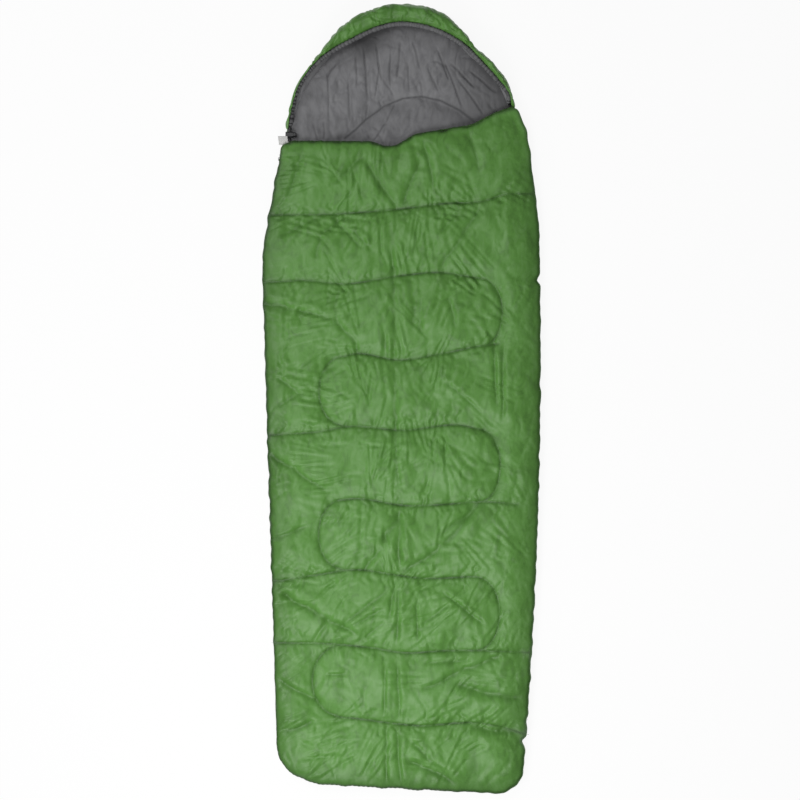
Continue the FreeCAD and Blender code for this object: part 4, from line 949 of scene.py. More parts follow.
def build_front_cover(sizes):
    """The front's outer cloth: simulated on a coarse grid, then doubled, creased and stitched down."""
    ring = ruffled(front_ring(), 5, sizes.ruffle)
    plan, rows = follow_lines(ring, int(BAG_WIDTH / sizes.cell), sizes.cell, FRONT_HEIGHTS)
    sewn = np.zeros(plan.shape[:2], dtype=bool)
    for row, (_, start, end) in zip(rows, reversed(QUILTING)):
        sewn[row] = (plan[row, :, 0] > start) & (plan[row, :, 0] < end)
    for turn in TURNS:
        path = turn_points(turn, 160)
        gaps = np.linalg.norm(plan[:, :, None] - path, axis=-1)
        close = (gaps.min(-1) < 0.5 * sizes.cell) & ~sewn
        plan[close] = path[gaps.argmin(-1)[close]]
        sewn |= close
    x, y = plan[..., 0], plan[..., 1]
    edge = ring_distance(x, y, ring)
    crest = FRONT_TOP - 0.008 + sizes.puff * filled_out(quilt_distance(x, y), 0.038)
    # The sewn side slopes down evenly over a wide strip, the side with the zip falls off at its edge
    to_right = eased(ramp(x - 0.05, 0.20))
    width = sizes.edge_round * (1.0 + 0.8 * to_right)
    share = arched(ramp(edge, width)) * (1 - 0.65 * to_right) + ramp(edge, width) * 0.65 * to_right
    side_z = FRONT_BASE + 0.007 - 0.006 * to_right
    z = side_z + (crest - side_z) * share
    z -= 0.010 * np.exp(-((x - 0.335) ** 2 + (y - 0.760) ** 2) / 0.085 ** 2) * ramp(edge, 0.02)
    grid = raised(plan, z)
    for start, end, half, depth in folds(FOLDS):
        carve_fold(grid, start, end, half, depth, 0.25)
    grid[..., 2] += 0.0022 * smooth_noise_xy(x, y, 11, 0.22, 0.08) * ramp(edge, 0.03)
    grid[..., 2] += 0.0024 * (crumple(x, y, 12, 0.060, 0.9, 1.3) - 0.4) * ramp(edge, 0.03)
    held = sewn
    held[[0, -1]] = held[:, [0, -1]] = True
    grid = swell(grid, held.ravel(), 0.8, sizes.excess, 30, 0.014)
    grid = refine(grid)
    x, y = grid[..., 0], grid[..., 1]
    seam = quilt_distance(x, y)
    edge = ring_distance(x, y, ring)
    before = grid[..., 2].copy()
    carve_puckers(grid, 21, sizes.wrinkle)
    carve_small_folds(grid, 22, 120, sizes.wrinkle * 0.8, (-0.35, -1.02, 0.35, 0.72))
    carve_fans(grid, 24, 150, sizes.wrinkle * 1.6)
    calm = np.clip(0.55 + 0.6 * smooth_noise_xy(x, y, 25, 0.30, 0.10), 0.15, 1)
    to_right = ramp(x - 0.22, 0.06)
    grid[..., 2] += sizes.wrinkle * 0.50 * calm * (crumple(x, y, 13, 0.034, 0.9, 1.2) - 0.4)
    grid[..., 2] += sizes.wrinkle * (0.20 * calm + 0.45 * to_right) * crumple(x, y, 14, 0.013, 1.2)
    near_edge = ramp(edge, 0.02)
    grid[..., 2] = before + (grid[..., 2] - before) * near_edge
    creases = raised(grid[..., :2], 0.0)
    for start, end, half, depth in folds(FOLDS):
        carve_fold(creases, start, end, half * 0.5, depth, 0.25)
    grid[..., 2] += 0.45 * creases[..., 2]
    grid[..., 2] -= 0.0032 * bell(seam, FRONT_GROOVE) * near_edge
    grid[..., 2] = np.maximum(grid[..., 2], FRONT_BASE + 0.004)
    profile = ((0, 0.0006, FRONT_BASE + 0.0045), (0, 0.002, FRONT_BASE + 0.0022),
               (0.25, 0.003, FRONT_BASE + 0.0010), (0.6, 0.001, FRONT_BASE + 0.0006),
               (1.0, 0.0, FRONT_BASE + 0.0004))
    points, faces = turned_edge(grid, sewn_ring(border(grid)[:, :2], 0.005), profile)
    piece = add_piece("front_cover", points, faces, points[:, :2], "front_panel")
    # Painted shade in the seam grooves and on the puffs' slopes into them, uneven along each seam and fainter
    # at the turns
    uneven = np.clip(0.80 + 0.35 * smooth_noise_xy(x, y, 23, 0.12, 0.03), 0.4, 1)
    uneven = uneven * (1 - 0.40 * ramp(np.abs(x - 0.02) - 0.13, 0.07))
    painted_shade = bell(seam, FRONT_GROOVE) * 0.85 * uneven + 0.16 * bell(seam, 0.012)
    # Painted shade in the creases
    painted_shade += 0.28 * ramp(-creases[..., 2], 0.0045)
    # Painted shade: both sides and the foot are darker, where the cloth turns away, less so near the foot on
    # the left
    below_collar = ramp(0.66 - y, 0.05)
    lit = 1 - 0.4 * ramp(-0.40 - y, 0.25) * ramp(-x, 0.10)
    painted_shade += bell(edge, 0.0065) * lit + 0.40 * bell(edge, 0.042) * below_collar
    sew_stitches("front_quilting_thread", quilting_paths(), grid[seam < 0.004], sizes.stitch, "front_panel")
    mark_pad(piece, np.clip(painted_shade, 0, 1), 0.55)
    finish_with(piece, "cover")
    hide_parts("front_shell", "front_fill")


def mark_pad(piece, painted_shade, turned):
    """Stores a pad's painted shade: one value for each point of its face, and one for all of its turned edge,
    which turns away from the light.
    """
    rest = len(piece.data.vertices) - painted_shade.size
    mark(piece, "seam", np.concatenate([painted_shade.ravel(), np.full(rest, turned)]))


def quilting_paths():
    """The front's stitched lines and turns, seen from above."""
    paths = []
    for points, start, end in QUILTING:
        across = np.linspace(max(start, -0.345), min(end, 0.350), 300)
        paths.append(np.stack([across, line_height(points, across)], axis=1))
    return paths + [turn_points(turn, 120) for turn in TURNS]


# Profile of a stitch, end to end: place along it, radius and height, both as shares of the thread's radius
STITCH_PROFILE = np.array(((0.0, 0.05, -0.8), (0.06, 0.70, 0.0), (0.30, 1.0, 0.5), (0.70, 1.0, 0.5),
                           (0.94, 0.70, 0.0), (1.0, 0.05, -0.8)))


def sew_stitches(name, paths, surface, length, body):
    """Lockstitches along paths seen from above, on the nearest points of a surface.

    Each stitch is a bead: rings of five points whose radius is a share of
    the thread's, sunk at both ends, and closed to a point.
    """
    starts, ends = [], []
    for path in paths:
        marks = evenly(path, length)
        step = np.diff(marks, axis=0)
        starts.append(marks[:-1] + step * 0.12)
        ends.append(marks[1:] - step * 0.12)
    both = np.concatenate(starts + ends)
    blocks = np.array_split(both, 30)
    nearest = [((block[:, None] - surface[None, :, :2]) ** 2).sum(-1).argmin(1) for block in blocks]
    nearest = surface[np.concatenate(nearest)]
    missed = np.linalg.norm(nearest[:, :2] - both, axis=1) > length * 2
    both = raised(both, nearest[:, 2])
    count = len(both) // 2
    kept = ~(missed[:count] | missed[count:])
    start, end = both[:count][kept], both[count:][kept]
    shares, swells, heights = STITCH_PROFILE.T
    outside = -1.0 if body == "back_panel" else 1.0
    centre = start[:, None] * (1 - shares[:, None]) + end[:, None] * shares[:, None]
    centre[..., 2] += outside * THREAD_RADIUS * heights
    along = (end - start) / np.linalg.norm(end - start, axis=1)[:, None]
    side = np.cross(along, (0, 0, 1.0))
    up = np.cross(side, along)
    sides = 5
    angle = np.linspace(0, 2 * math.pi, sides, endpoint=False)[:, None]
    spoke = np.cos(angle) * side[:, None] + np.sin(angle) * up[:, None]
    rings = centre[:, :, None] + spoke[:, None] * (swells * THREAD_RADIUS)[None, :, None, None]
    faces = grid_faces(len(shares), sides, around=True, flip=True)
    faces = faces[None] + len(shares) * sides * np.arange(len(start))[:, None, None]
    points = rings.reshape(-1, 3)
    piece = add_piece(name, points, faces.reshape(-1, 4), points[:, :2], body)
    finish_with(piece, "thread")


def build_front_lining(sizes):
    """The front's inner cloth, which hangs a little below the seams towards the sleeper.

    Its edge lies under the cover's turned-in edge.
    """
    ring = sewn_ring(nipped(front_ring()), 0.0030)
    cell = sizes.cell * 0.8
    plan, _ = follow_lines(ring, int(0.66 / cell), cell, FRONT_HEIGHTS)
    x, y = plan[..., 0], plan[..., 1]
    seam = quilt_distance(x, y)
    edge = ring_distance(x, y, ring)
    grid = raised(plan, 0.0042 * filled_out(seam, 0.028) * arched(ramp(edge, 0.03)))
    carve_puckers(grid, 31, sizes.wrinkle)
    carve_small_folds(grid, 32, 300, sizes.wrinkle * 0.8, (-0.31, -0.98, 0.34, 0.72))
    grid[..., 2] = FRONT_BASE + 0.0004 - np.clip(grid[..., 2], -0.0006, 0.009) * ramp(edge, 0.015)
    piece = add_grid("front_inner_lining", grid, "front_panel", flip=True, flat=True)
    # Painted shade in the seam grooves
    mark(piece, "seam", bell(seam, FLAT_GROOVE) * 0.8)
    finish_with(piece, "lining")
    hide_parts("front_lining")


def build_back_cover(sizes):
    """The back's outer cloth: flat where it lies on the ground, with its sides turned up to the
    zip and the seam."""
    ring = ruffled(back_ring(-0.001), 6, sizes.ruffle * 0.8)
    cell = sizes.cell * 1.1
    plan, _ = follow_lines(ring, int(BAG_WIDTH / cell), cell, BACK_HEIGHTS)
    x, y = plan[..., 0], plan[..., 1]
    seam = back_distance(x, y)
    lift = 0.0035 * bell(seam, 0.010) + 0.0007 * smooth_noise_xy(x, y, 41, 0.10, 0.03)
    belly = 0.011 * (1 - arched(ramp(ring_distance(x, y, ring), 0.030)))
    grid = raised(plan, np.clip(lift, 0, 1))
    carve_small_folds(grid, 42, 160, -sizes.wrinkle * 0.7, (-0.34, -1.0, 0.34, 0.98))
    grid[..., 2] = np.maximum(grid[..., 2], 0.0002) + belly
    profile = ((0, 0.0004, 0.0135), (0, 0.0015, 0.0165), (0.2, 0.003, 0.0185), (0.6, 0.001, 0.0194),
               (1.0, 0.0, BACK_TOP - 0.0004))
    points, faces = turned_edge(grid, sewn_ring(border(grid)[:, :2], 0.005), profile, flip=True)
    piece = add_piece("back_cover", points, faces, points[:, :2], "back_panel")
    # Painted shade in the seam grooves, and on the turned-up edge
    mark_pad(piece, bell(seam, FLAT_GROOVE) * 0.65, 0.20)
    across = np.linspace(-0.335, 0.345, 300)
    paths = [np.stack([across, back_line(line, across)], axis=1) for line in BACK_LINES]
    sew_stitches("back_quilting_thread", paths, grid[seam < 0.004], sizes.stitch, "back_panel")
    finish_with(piece, "cover")
    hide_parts("back_shell", "back_fill")


# The head rest: an arched seam in the lining, in millimetres, and gathers that run down from the crown,
# in the form of the front's folds.
HEAD_ARC = np.array((
    (-150, 700), (-122, 722), (-96, 748), (-45, 785), (5, 806), (55, 811), (106, 800), (157, 774), (192, 747),
    (225, 700))) / 1000
GATHERS = (
    (-1960, 8800, -1920, 7400, 35, 42), (-1000, 9400, -880, 8000, 40, 56),
    (-880, 7900, -980, 7400, 40, 36), (-680, 9500, -520, 8500, 40, 50), (-560, 9000, -700, 8000, 35, 38),
    (-500, 8600, -200, 8120, 35, 36), (700, 8900, 1000, 8200, 40, 40), (300, 9600, 520, 8800, 50, 36),
    (1150, 9050, 1650, 7800, 45, 50), (1300, 9000, 2000, 8300, 50, 46), (1500, 8600, 2220, 7600, 45, 40),
    (-150, 7950, -400, 7400, 35, 32), (-400, 7400, -750, 6900, 40, 36), (0, 9600, -120, 8500, 50, 34),
    (-2350, 7400, -2220, 6900, 40, 36), (-2050, 7450, -2060, 6950, 40, 36),
    (-1700, 9000, -2000, 8600, 60, 36), (1800, 8800, 2550, 8200, 50, 38),
    (-1420, 8600, -1360, 7400, 40, 36), (-1200, 9200, -1180, 8300, 40, 34),
    (-280, 9300, -300, 8300, 35, 40), (180, 9000, 220, 8220, 35, 36), (520, 8500, 580, 8150, 35, 34),
    (950, 9400, 1300, 8500, 45, 40),
)


def build_back_lining(sizes):
    """The back's inner cloth: the head rest shows in the face opening, with its arched seam and gathers."""
    ring = sewn_ring(nipped(back_ring()), 0.0035)
    head_y = 0.62  # the head rest starts here
    plan, _ = follow_lines(ring, int(0.70 / (sizes.cell * 0.4)), sizes.cell * 1.1,
                           BACK_HEIGHTS + [partial(back_line, head_y)], last_cell=sizes.cell * 0.37)
    x, y = plan[..., 0], plan[..., 1]
    seam = np.where(y < head_y, back_distance(x, y), 1.0)
    seam = np.minimum(seam, ring_distance(x, y, evenly(HEAD_ARC, 0.003)))
    edge = ring_distance(x, y, ring)
    head = ramp(y - 0.60, 0.12)
    pillow = 0.0045 + 0.0085 * eased(head)
    rise = pillow * filled_out(seam, 0.030) * arched(ramp(edge, 0.035))
    inside = ramp(edge, 0.04)
    rise += 0.0012 * smooth_noise_xy(x, y, 51, 0.12, 0.04) * inside
    lean = ramp(x - 0.05, 0.20) * 0.6 + ramp(0.76 - y, 0.10) * 0.4
    rise -= 0.0080 * lean * head * inside
    rise += 0.0013 * crumple(x, y, 54, 0.036, 0.6, 1.6) * inside * ramp(y - head_y, 0.03)
    grid = raised(plan, rise)
    creases = raised(plan, 0.0)
    for start, end, half, depth in folds(GATHERS):
        carve_fold(creases, start, end, half * 0.55, depth, 0.35, ridge=0.12)
    grid[..., 2] += 0.45 * creases[..., 2]
    carve_small_folds(grid, 52, 260, sizes.wrinkle * 0.9, (-0.31, -0.98, 0.34, 0.66))
    carve_small_folds(grid, 53, 90, sizes.wrinkle * 0.8, (-0.29, 0.68, 0.28, 0.97))
    grid[..., 2] -= 0.0030 * bell(seam, HEAD_GROOVE)
    # It lies flat under the cord lock and where the lock slides to
    low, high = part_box("cord_lock_barrel")
    aside = np.maximum(np.maximum(low.x - x, x - high.x), 0)
    beyond = np.maximum(np.maximum(low.y - LOCK_TRAVEL - y, y - high.y), 0)
    flat = eased(ramp(np.hypot(aside, beyond) - 0.004, 0.025))
    grid[..., 2] = BACK_TOP - 0.0002 + np.maximum(grid[..., 2], 0.0) * ramp(edge, 0.012) * flat
    piece = add_grid("back_inner_lining", grid, "back_panel", flat=True)
    # Painted shade: the cloth is darker where it dips under the front, towards the sewn side, and under the
    # hood's edge
    painted_dip_shade = ramp(0.80 - y, 0.12) * 0.42 * head + ramp(x - 0.09, 0.15) * 0.66 * head
    under_rim = ring_distance(x, y, evenly(FACE_ARCH, 0.004))
    crown = bell(x + 0.090, 0.045)
    painted_dip_shade += (0.35 + 0.85 * crown) * bell(under_rim, 0.018 + 0.030 * crown)
    # Painted shade also in the seam grooves and in the gathers
    painted_shade = bell(seam, 0.0028) + painted_dip_shade + 0.55 * ramp(-creases[..., 2], 0.0036)
    mark(piece, "seam", np.clip(painted_shade, 0, 1))
    finish_with(piece, "lining")
    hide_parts("back_lining")


# ------------------------------------------------------------ the hood ----

# The soft edge of the face opening in millimetres: a blunt arch from its right end to its left
FACE_ARCH = np.array((
    (285, 788), (286, 808), (256, 848), (212, 894), (166, 938), (121, 965), (62, 986), (-8, 993), (-70, 979),
    (-122, 955), (-186, 921), (-240, 876), (-272, 830), (-287, 785), (-295, 731))) / 1000


def rim_points(count, lift=0.0):
    """Points along the face opening's arch, on its tilted plane, raised along Z by lift."""
    arch = smooth_line(FACE_ARCH, count)
    return raised(arch, RIM_Z + (arch[:, 1] - RIM_Y) * math.tan(RIM_TILT) + lift)


def hood_foot(count, grow):
    """Points of the bag's outline round the head, from the right end of the hood to its left end."""
    ring = back_ring(grow)
    start = int(np.argmin(np.abs(ring[:, 1] - 0.772) + (ring[:, 0] < 0) * 9))
    ring = np.roll(ring, -start, axis=0)
    end = int(np.argmin(np.abs(ring[:, 1] - 0.716) + (ring[:, 0] > 0) * 9))
    return spread(ring[:end + 1], count)


def roof_z(y):
    """Height of the hood's roof, which climbs towards the crown."""
    return ROOF_HEIGHT + math.tan(RIM_TILT) * (y - ROOF_START_Y)


def hood_rows(foot, rim, recipe, rows):
    """Rows of points from the hood's foot to its rim, by a recipe of control points.

    Each is (share of the way from foot to rim, distance outwards, base, height),
    where the height counts from the pad, the roof or the rim. Both ends are
    pinched shut over their last few columns.
    """
    between = rim[:, :2] - foot
    reach = np.linalg.norm(between, axis=1)[:, None]
    bases = {"pad": BACK_TOP, "roof": roof_z(foot[:, 1]), "rim": rim[:, 2]}
    controls = []
    for share, out, base, height in recipe:
        place = foot + between * share - between / reach * np.minimum(out, reach * 0.6)
        controls.append(raised(place, bases[base] + height))
    grid = bezier_rows(np.array(controls), rows)
    along = np.linspace(0, 1, len(foot))
    open_share = arched(ramp(np.minimum(along, 1 - along), 0.035))[None, :, None]
    tip = raised(foot * 0.5 + rim[:, :2] * 0.5, BACK_TOP + 0.002)
    return tip[None] * (1 - open_share) + grid * open_share


def clear_of_hem(grid, rim, share):
    """Cloth moved out of the hem's tube: each point goes straight away from the hem's middle
    line until it is as far from it as the hem's fullest gather and a little more."""
    along = np.gradient(rim, axis=0)
    along /= np.linalg.norm(along, axis=1)[:, None]
    away = grid - rim[None]
    away -= (away * along).sum(-1)[..., None] * along
    distance = np.maximum(np.linalg.norm(away, axis=-1), 1e-5)
    push = np.clip(HEM_RADIUS * 1.10 + 0.0008 - distance, 0, 1) * share
    return grid + away / distance[..., None] * push[..., None]


def grid_normals(grid):
    """Unit normals of a grid of points, from the differences along its rows and columns."""
    normal = np.cross(np.gradient(grid, axis=1), np.gradient(grid, axis=0))
    return normal / np.maximum(np.linalg.norm(normal, axis=-1), 1e-9)[..., None]


HOOD_COVER = (
    (0, 0.000, "pad", -0.006), (0, 0.003, "pad", 0.010), (0, 0.003, "roof", -0.014),
    (0.10, 0.0, "roof", 0.008), (0.40, 0.0, "roof", 0.012), (0.72, 0.0, "rim", 0.016),
    (0.96, 0.006, "rim", 0.010), (1.0, 0.006, "rim", 0.001))
HOOD_LINING = (
    (0, 0.0, "pad", 0.000), (0, 0.0, "pad", 0.006), (0.02, 0.0, "roof", -0.030), (0.25, 0.0, "roof", -0.018),
    (0.65, 0.0, "rim", -0.004), (1.0, 0.0, "rim", -0.003))


def build_hood_cover(sizes):
    """The hood's outer cloth: up from the pad's edge, over the roof, and in to the gathered rim."""
    columns, rows = 420, 48
    length = 0.95  # of the hood's foot, in metres
    run = np.linspace(0, 1, columns) * length
    foot = hood_foot(columns, 0.0008)
    ruffle = smooth_noise(run, 7, 0.13, 0.035) * sizes.ruffle
    rim = rim_points(columns)
    grid = hood_rows(foot, rim, HOOD_COVER, rows)
    normal = grid_normals(grid)
    w = np.linspace(0, 1, rows)[:, None]
    grid[..., :2] += outwards_of_line(foot)[None] * (ruffle[None] * bell(w - 0.12, 0.12))[..., None]
    along, across = np.meshgrid(run, w[:, 0] * 0.11)
    gather = np.sin(2 * math.pi * along / sizes.gather + 2.6 * smooth_noise(along, 61, 0.12, 0.05))
    gather *= np.clip(0.5 + 0.6 * smooth_noise(along, 64, 0.2, 0.06), 0, 1)
    swellings = 0.0018 * smooth_noise_xy(along, across, 62, 0.16, 0.06)
    small = 0.0020 * (crumple(along, across, 63, 0.030, 1.6) - 0.4)
    open_share = ramp(np.minimum(run, length - run), 0.05)[None]
    held = np.sin(np.pi * w) ** 0.5
    height = (0.0007 * gather * ramp(w - 0.55, 0.35) + (swellings + small) * held) * open_share
    grid += normal * height[..., None]
    chance = np.random.default_rng(65)
    for place in np.cumsum(chance.uniform(4, 20, 40)).astype(int):
        if 30 < place < columns - 60:
            toward = np.clip(place + int(chance.normal(0, 18)), 0, columns - 1)
            first, last = chance.uniform(0.75, 1.0), chance.uniform(0.0, 0.45)
            start = foot[place] + (rim[place, :2] - foot[place]) * first
            end = foot[toward] + (rim[toward, :2] - foot[toward]) * last
            if np.linalg.norm(end - start) > 0.008:
                half, depth = chance.uniform(0.0028, 0.0062), chance.uniform(0.0006, 0.0024)
                carve_fold(grid, start, end, half, depth, 0.6)
    grid = clear_of_hem(grid, rim, open_share * ramp(1 - w, 0.06))
    piece = add_grid("hood_cover", grid, "back_panel", flip=True)
    # Painted shade on the outer side wall, which turns away, and next to the hem; the noise added on top is
    # random tone
    painted_edge_shade = 0.75 * bell(w, 0.24) + 0.5 * bell(1 - w, 0.07)
    mark(piece, "seam", painted_edge_shade + 0.15 * np.clip(smooth_noise(along, 66, 0.15, 0.04), 0, 1))
    finish_with(piece, "cover")
    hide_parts("hood_shell", "hood_fill")


def build_hood_lining(sizes):
    """The hood's inner cloth: from under the rim, out below the roof, and down to the pad."""
    columns, rows = 360, 36
    length = 0.85  # of the hood's foot inside, in metres
    foot = hood_foot(columns, -0.022)
    rim = rim_points(columns, -0.002)
    grid = hood_rows(foot, rim, HOOD_LINING, rows)
    run = np.linspace(0, 1, columns)[None] * length
    w = np.linspace(0, 1, rows)[:, None]
    wander = smooth_noise(run + 0.25 * w, 71, 0.10, 0.04)
    gather = np.sin(2 * math.pi * run / (sizes.gather * 1.15) + 1.8 * wander)
    open_share = ramp(np.minimum(run, length - run), 0.05)
    room = np.clip((np.linalg.norm(foot - rim[:, :2], axis=1) - 0.015) / 0.03, 0.1, 1)
    height = 0.0016 * gather * np.clip(w * 1.6, 0.2, 1) + 0.0015 * wander
    height = height * open_share * np.sin(np.pi * w) ** 0.4 * room
    grid -= grid_normals(grid) * height[..., None]
    piece = add_grid("hood_inner_lining", grid, "back_panel")
    # Painted shade: darker just under the hem, at the rim
    mark(piece, "seam", 0.5 * bell(1 - w, 0.04) + 0 * run)
    finish_with(piece, "lining")
    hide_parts("hood_lining")


def build_rim_hem(sizes):
    """The face opening's hem: a soft tube drawn into tight gathers by its cord.

    Its radius swells between gathers and dips at them, a little differently
    all the way round, and both ends are closed.
    """
    count, sides = 900, 18
    middle = rim_points(count)
    run = run_of(middle)
    phase = 2 * math.pi * run / (sizes.gather * 0.6) + 2.5 * smooth_noise(run, 81, 0.09, 0.03)
    # The gathers are tighter towards both ends, where the cord pulls
    tight = ramp(np.abs(run / run[-1] - 0.42), 0.50) ** 1.6
    gather = np.sin(phase)
    plump = HEM_RADIUS * (0.88 + (0.06 + 0.08 * tight) * gather + 0.07 * smooth_noise(run, 82, 0.06, 0.02))
    ends = ramp(np.minimum(run, run[-1] - run), 0.008)
    plump = plump * arched(ends)
    rings = tube(middle, plump, sides)
    around = np.linspace(0, 2 * math.pi, sides, endpoint=False)
    twist = 0.0003 * np.sin(phase[:, None] + 3 * around) * ends[:, None]
    centre = middle[:, None]
    rings = centre + (rings - centre) * (1 + twist[..., None] / HEM_RADIUS)
    piece = add_tube("gathered_hem", rings, run, around * HEM_RADIUS, "back_panel")
    # Painted shade: darker in the hollows between the gathers, and more so towards both ends where they are
    # tighter
    painted_shade = 0.25 * tight + (0.20 + 0.60 * tight) * np.clip(-gather, 0, 1)
    mark(piece, "seam", np.repeat(np.clip(painted_shade, 0, 1), sides))
    finish_with(piece, "hem")
    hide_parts("hood_hem")


# ---------------------------------------------- cord, lock and label ----

CORD_RADIUS = 0.0015
# The cord leaves the hem, bends once at the lock and runs straight to its knot
CORD_ROUTE = ((-0.29508, 0.73098, 0.02919), (-0.29608, 0.72403, 0.02783), (-0.29608, 0.68600, 0.02783))


def spline_points(route):
    """Points along the smooth spline whose control points are the route's."""
    curve = bpy.data.curves.new("route", "CURVE")
    curve.dimensions = "3D"
    curve.resolution_u = 40
    spline = curve.splines.new("NURBS")
    spline.points.add(len(route) - 1)
    for point, place in zip(spline.points, route):
        point.co = (*place, 1)
    spline.order_u = 3
    spline.use_endpoint_u = True
    holder = bpy.data.objects.new("route", curve)
    bpy.context.scene.collection.objects.link(holder)
    bpy.context.view_layer.update()
    line = bpy.data.meshes.new_from_object(holder)
    points = np.zeros(len(line.vertices) * 3)
    line.vertices.foreach_get("co", points)
    bpy.data.meshes.remove(line)
    bpy.data.objects.remove(holder)
    bpy.data.curves.remove(curve)
    return points.reshape(-1, 3)


def build_drawcord():
    """The free end of the drawcord, out of the hem, through the lock and down to its knot."""
    path = spline_points(CORD_ROUTE)
    run = run_of(path)
    sides = 16
    braid = 1 + 0.05 * np.cos(run[:, None] / 0.0022 * 2 * math.pi + np.linspace(0, 6, sides)[None] * 2)
    centre = path[:, None]
    rings = centre + (tube(path, CORD_RADIUS, sides) - centre) * braid[..., None]
    cord = add_tube("hood_cord", rings, run, np.linspace(0, 0.009, sides), "back_panel")
    finish_with(cord, "cord")
    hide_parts("hood_drawcord")

    # The knot is a trefoil: X and Y go round twice while Z goes up and down three times
    low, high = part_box("cord_knot")
    count, sides = 120, 10
    turn = np.linspace(0, 2 * math.pi, count, endpoint=False)
    trefoil = np.stack([np.sin(turn) + 2 * np.sin(2 * turn), np.cos(turn) - 2 * np.cos(2 * turn),
                        -1.2 * np.sin(3 * turn)], axis=1) * 0.00105
    trefoil += np.array((low + high) / 2)
    rings = tube(trefoil, 0.00125, sides, closed=True)
    faces = np.concatenate([grid_faces(count, sides, around=True, flip=True), closing_faces(count, sides)])
    knot = add_piece("cord_end_knot", rings.reshape(-1, 3), faces, np.zeros((count * sides, 2)), "back_panel")
    finish_with(knot, "cord")
    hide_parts("cord_knot")


def closing_faces(rings, sides):
    """Faces that join the last ring of a closed tube to its first."""
    first = np.arange(sides)
    last = (rings - 1) * sides + first
    return np.stack([np.roll(first, -1), first, last, np.roll(last, -1)], axis=1)


def build_label():
    """The bare care label: satin tape folded over once, with a slight curl."""
    low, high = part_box("care_label")
    half = high.y - low.y
    gap = 0.0012
    path = np.linspace(0, 1, 40)
    flat = half - gap / 2
    angle = ramp(path - 0.48, 0.04) * math.pi
    y = np.where(path < 0.48, path / 0.48 * flat, np.where(path > 0.52, (1 - path) / 0.48 * flat, flat))
    y = (y + gap / 2 * np.sin(angle))[:, None]
    z = (gap / 2 * np.cos(angle))[:, None]
    across = np.linspace(low.x, high.x, 26)[None]
    curl = 0.0016 * np.sin(y / half * 2.2) * (1 + 0.7 * np.sin((across - low.x) * 150))
    z = (low.z + high.z) / 2 + z + curl
    grid = np.stack(np.broadcast_arrays(across - 0.12 * y, low.y + y, z), axis=-1)
    piece = add_grid("bare_label", grid, "front_panel")
    finish_with(piece, "satin")
    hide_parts("care_label")


def build_collar():
    """The narrow binding along the front's top edge."""
    line = evenly(split_outline(front_ring())[2], 0.003)[4:-2]
    run = run_of(line)
    path = raised(line, FRONT_BASE + 0.0035 + 0.0007 * smooth_noise(run, 91, 0.08, 0.02))
    ends = arched(ramp(np.minimum(run, run[-1] - run), 0.006))
    plump = 0.0022 * (1 + 0.15 * smooth_noise(run, 92, 0.03, 0.01)) * ends
    sides = 12
    centre = path[:, None]
    rings = centre + (tube(path, plump, sides) - centre) * (1, 1, 1.5)
    piece = add_tube("collar_binding", rings, run, np.linspace(0, 0.014, sides), "front_panel")
    finish_with(piece, "edging")
    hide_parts("front_hem")


# ------------------------------------------------------------- the zip ----

def zip_line(spacing, top, end_x):
    """The zip's line seen from above: down the left side, round the corner and along the foot."""
    corner = np.array([ZIP_X, ZIP_CORNER_Y])
    along = np.array([1.0, ZIP_SLOPE]) / math.hypot(1, ZIP_SLOPE)
    turn = math.acos(float(along @ (0, -1)))
    lead = ZIP_CORNER_ROUND * math.tan(turn / 2)
    centre = corner + (ZIP_CORNER_ROUND, lead)
    angle = np.linspace(math.pi, math.pi + turn, 60)
    arc = centre + ZIP_CORNER_ROUND * np.stack([np.cos(angle), np.sin(angle)], axis=1)
    end = corner + along * (end_x - ZIP_X) / along[0]
    return evenly(np.concatenate([[(ZIP_X, top)], arc, [end]]), spacing)


# The coil's wire, and half the coil's width and height
WIRE_RADIUS = 0.00042
COIL_REACH = (0.0011, 0.0015)


def build_zip(sizes):
    """The two nylon coils, each a long spiral whose turns lock between those of the other."""
    steps = 8
    line = zip_line(sizes.coil_pitch / steps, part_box("zip_coil_front")[1].y, 0.225)
    along = np.gradient(line, axis=0)
    side = raised(beside(along), 0.0)
    forward = raised(along / np.linalg.norm(along, axis=1)[:, None], 0.0)
    up = np.array([0, 0, 1.0])
    for name, middle, start in (("back", ZIP_Z - 0.00125, 0.0), ("front", ZIP_Z + 0.00125, math.pi)):
        turn = (2 * math.pi * np.arange(len(line)) / steps + start)[:, None]
        spoke = side * np.cos(turn) * COIL_REACH[0] + up * np.sin(turn) * COIL_REACH[1]
        path = raised(line, middle) + spoke
        outer = spoke / np.linalg.norm(spoke, axis=1)[:, None]
        corners = (outer + forward, outer - forward, -outer - forward, forward - outer)
        rings = path[:, None] + np.stack(corners, axis=1) * WIRE_RADIUS * 0.75
        piece = add_tube("zip_teeth_" + name, rings, run_of(line), np.linspace(0, 0.003, 4), name + "_panel",
                         flip=False)
        finish_with(piece, "coil")
        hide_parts("zip_coil_" + name)


CAD_FINISHES = (
    ("zinc", "zip_metal", ("zip_slider", "zip_pull_outer", "zip_pull_inner", "foot_slider", "foot_pull",
                           "zip_top_stop_back", "zip_top_stop_front", "zip_bottom_stop")),
    ("tape", "zip_tape", ("zip_tape_back", "zip_tape_front")),
    ("acetal", "lock_plastic", ("cord_lock_barrel",)),
    ("acetal", "plunger_plastic", ("cord_lock_plunger",)),
    ("steel", "spring_steel", ("cord_lock_spring",)),
)


def finish_hardware():
    """Finishes for the hard pieces, whose shapes are already right."""
    for material, slot, nodes in CAD_FINISHES:
        for node in nodes:
            finish_with(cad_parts[node], material)


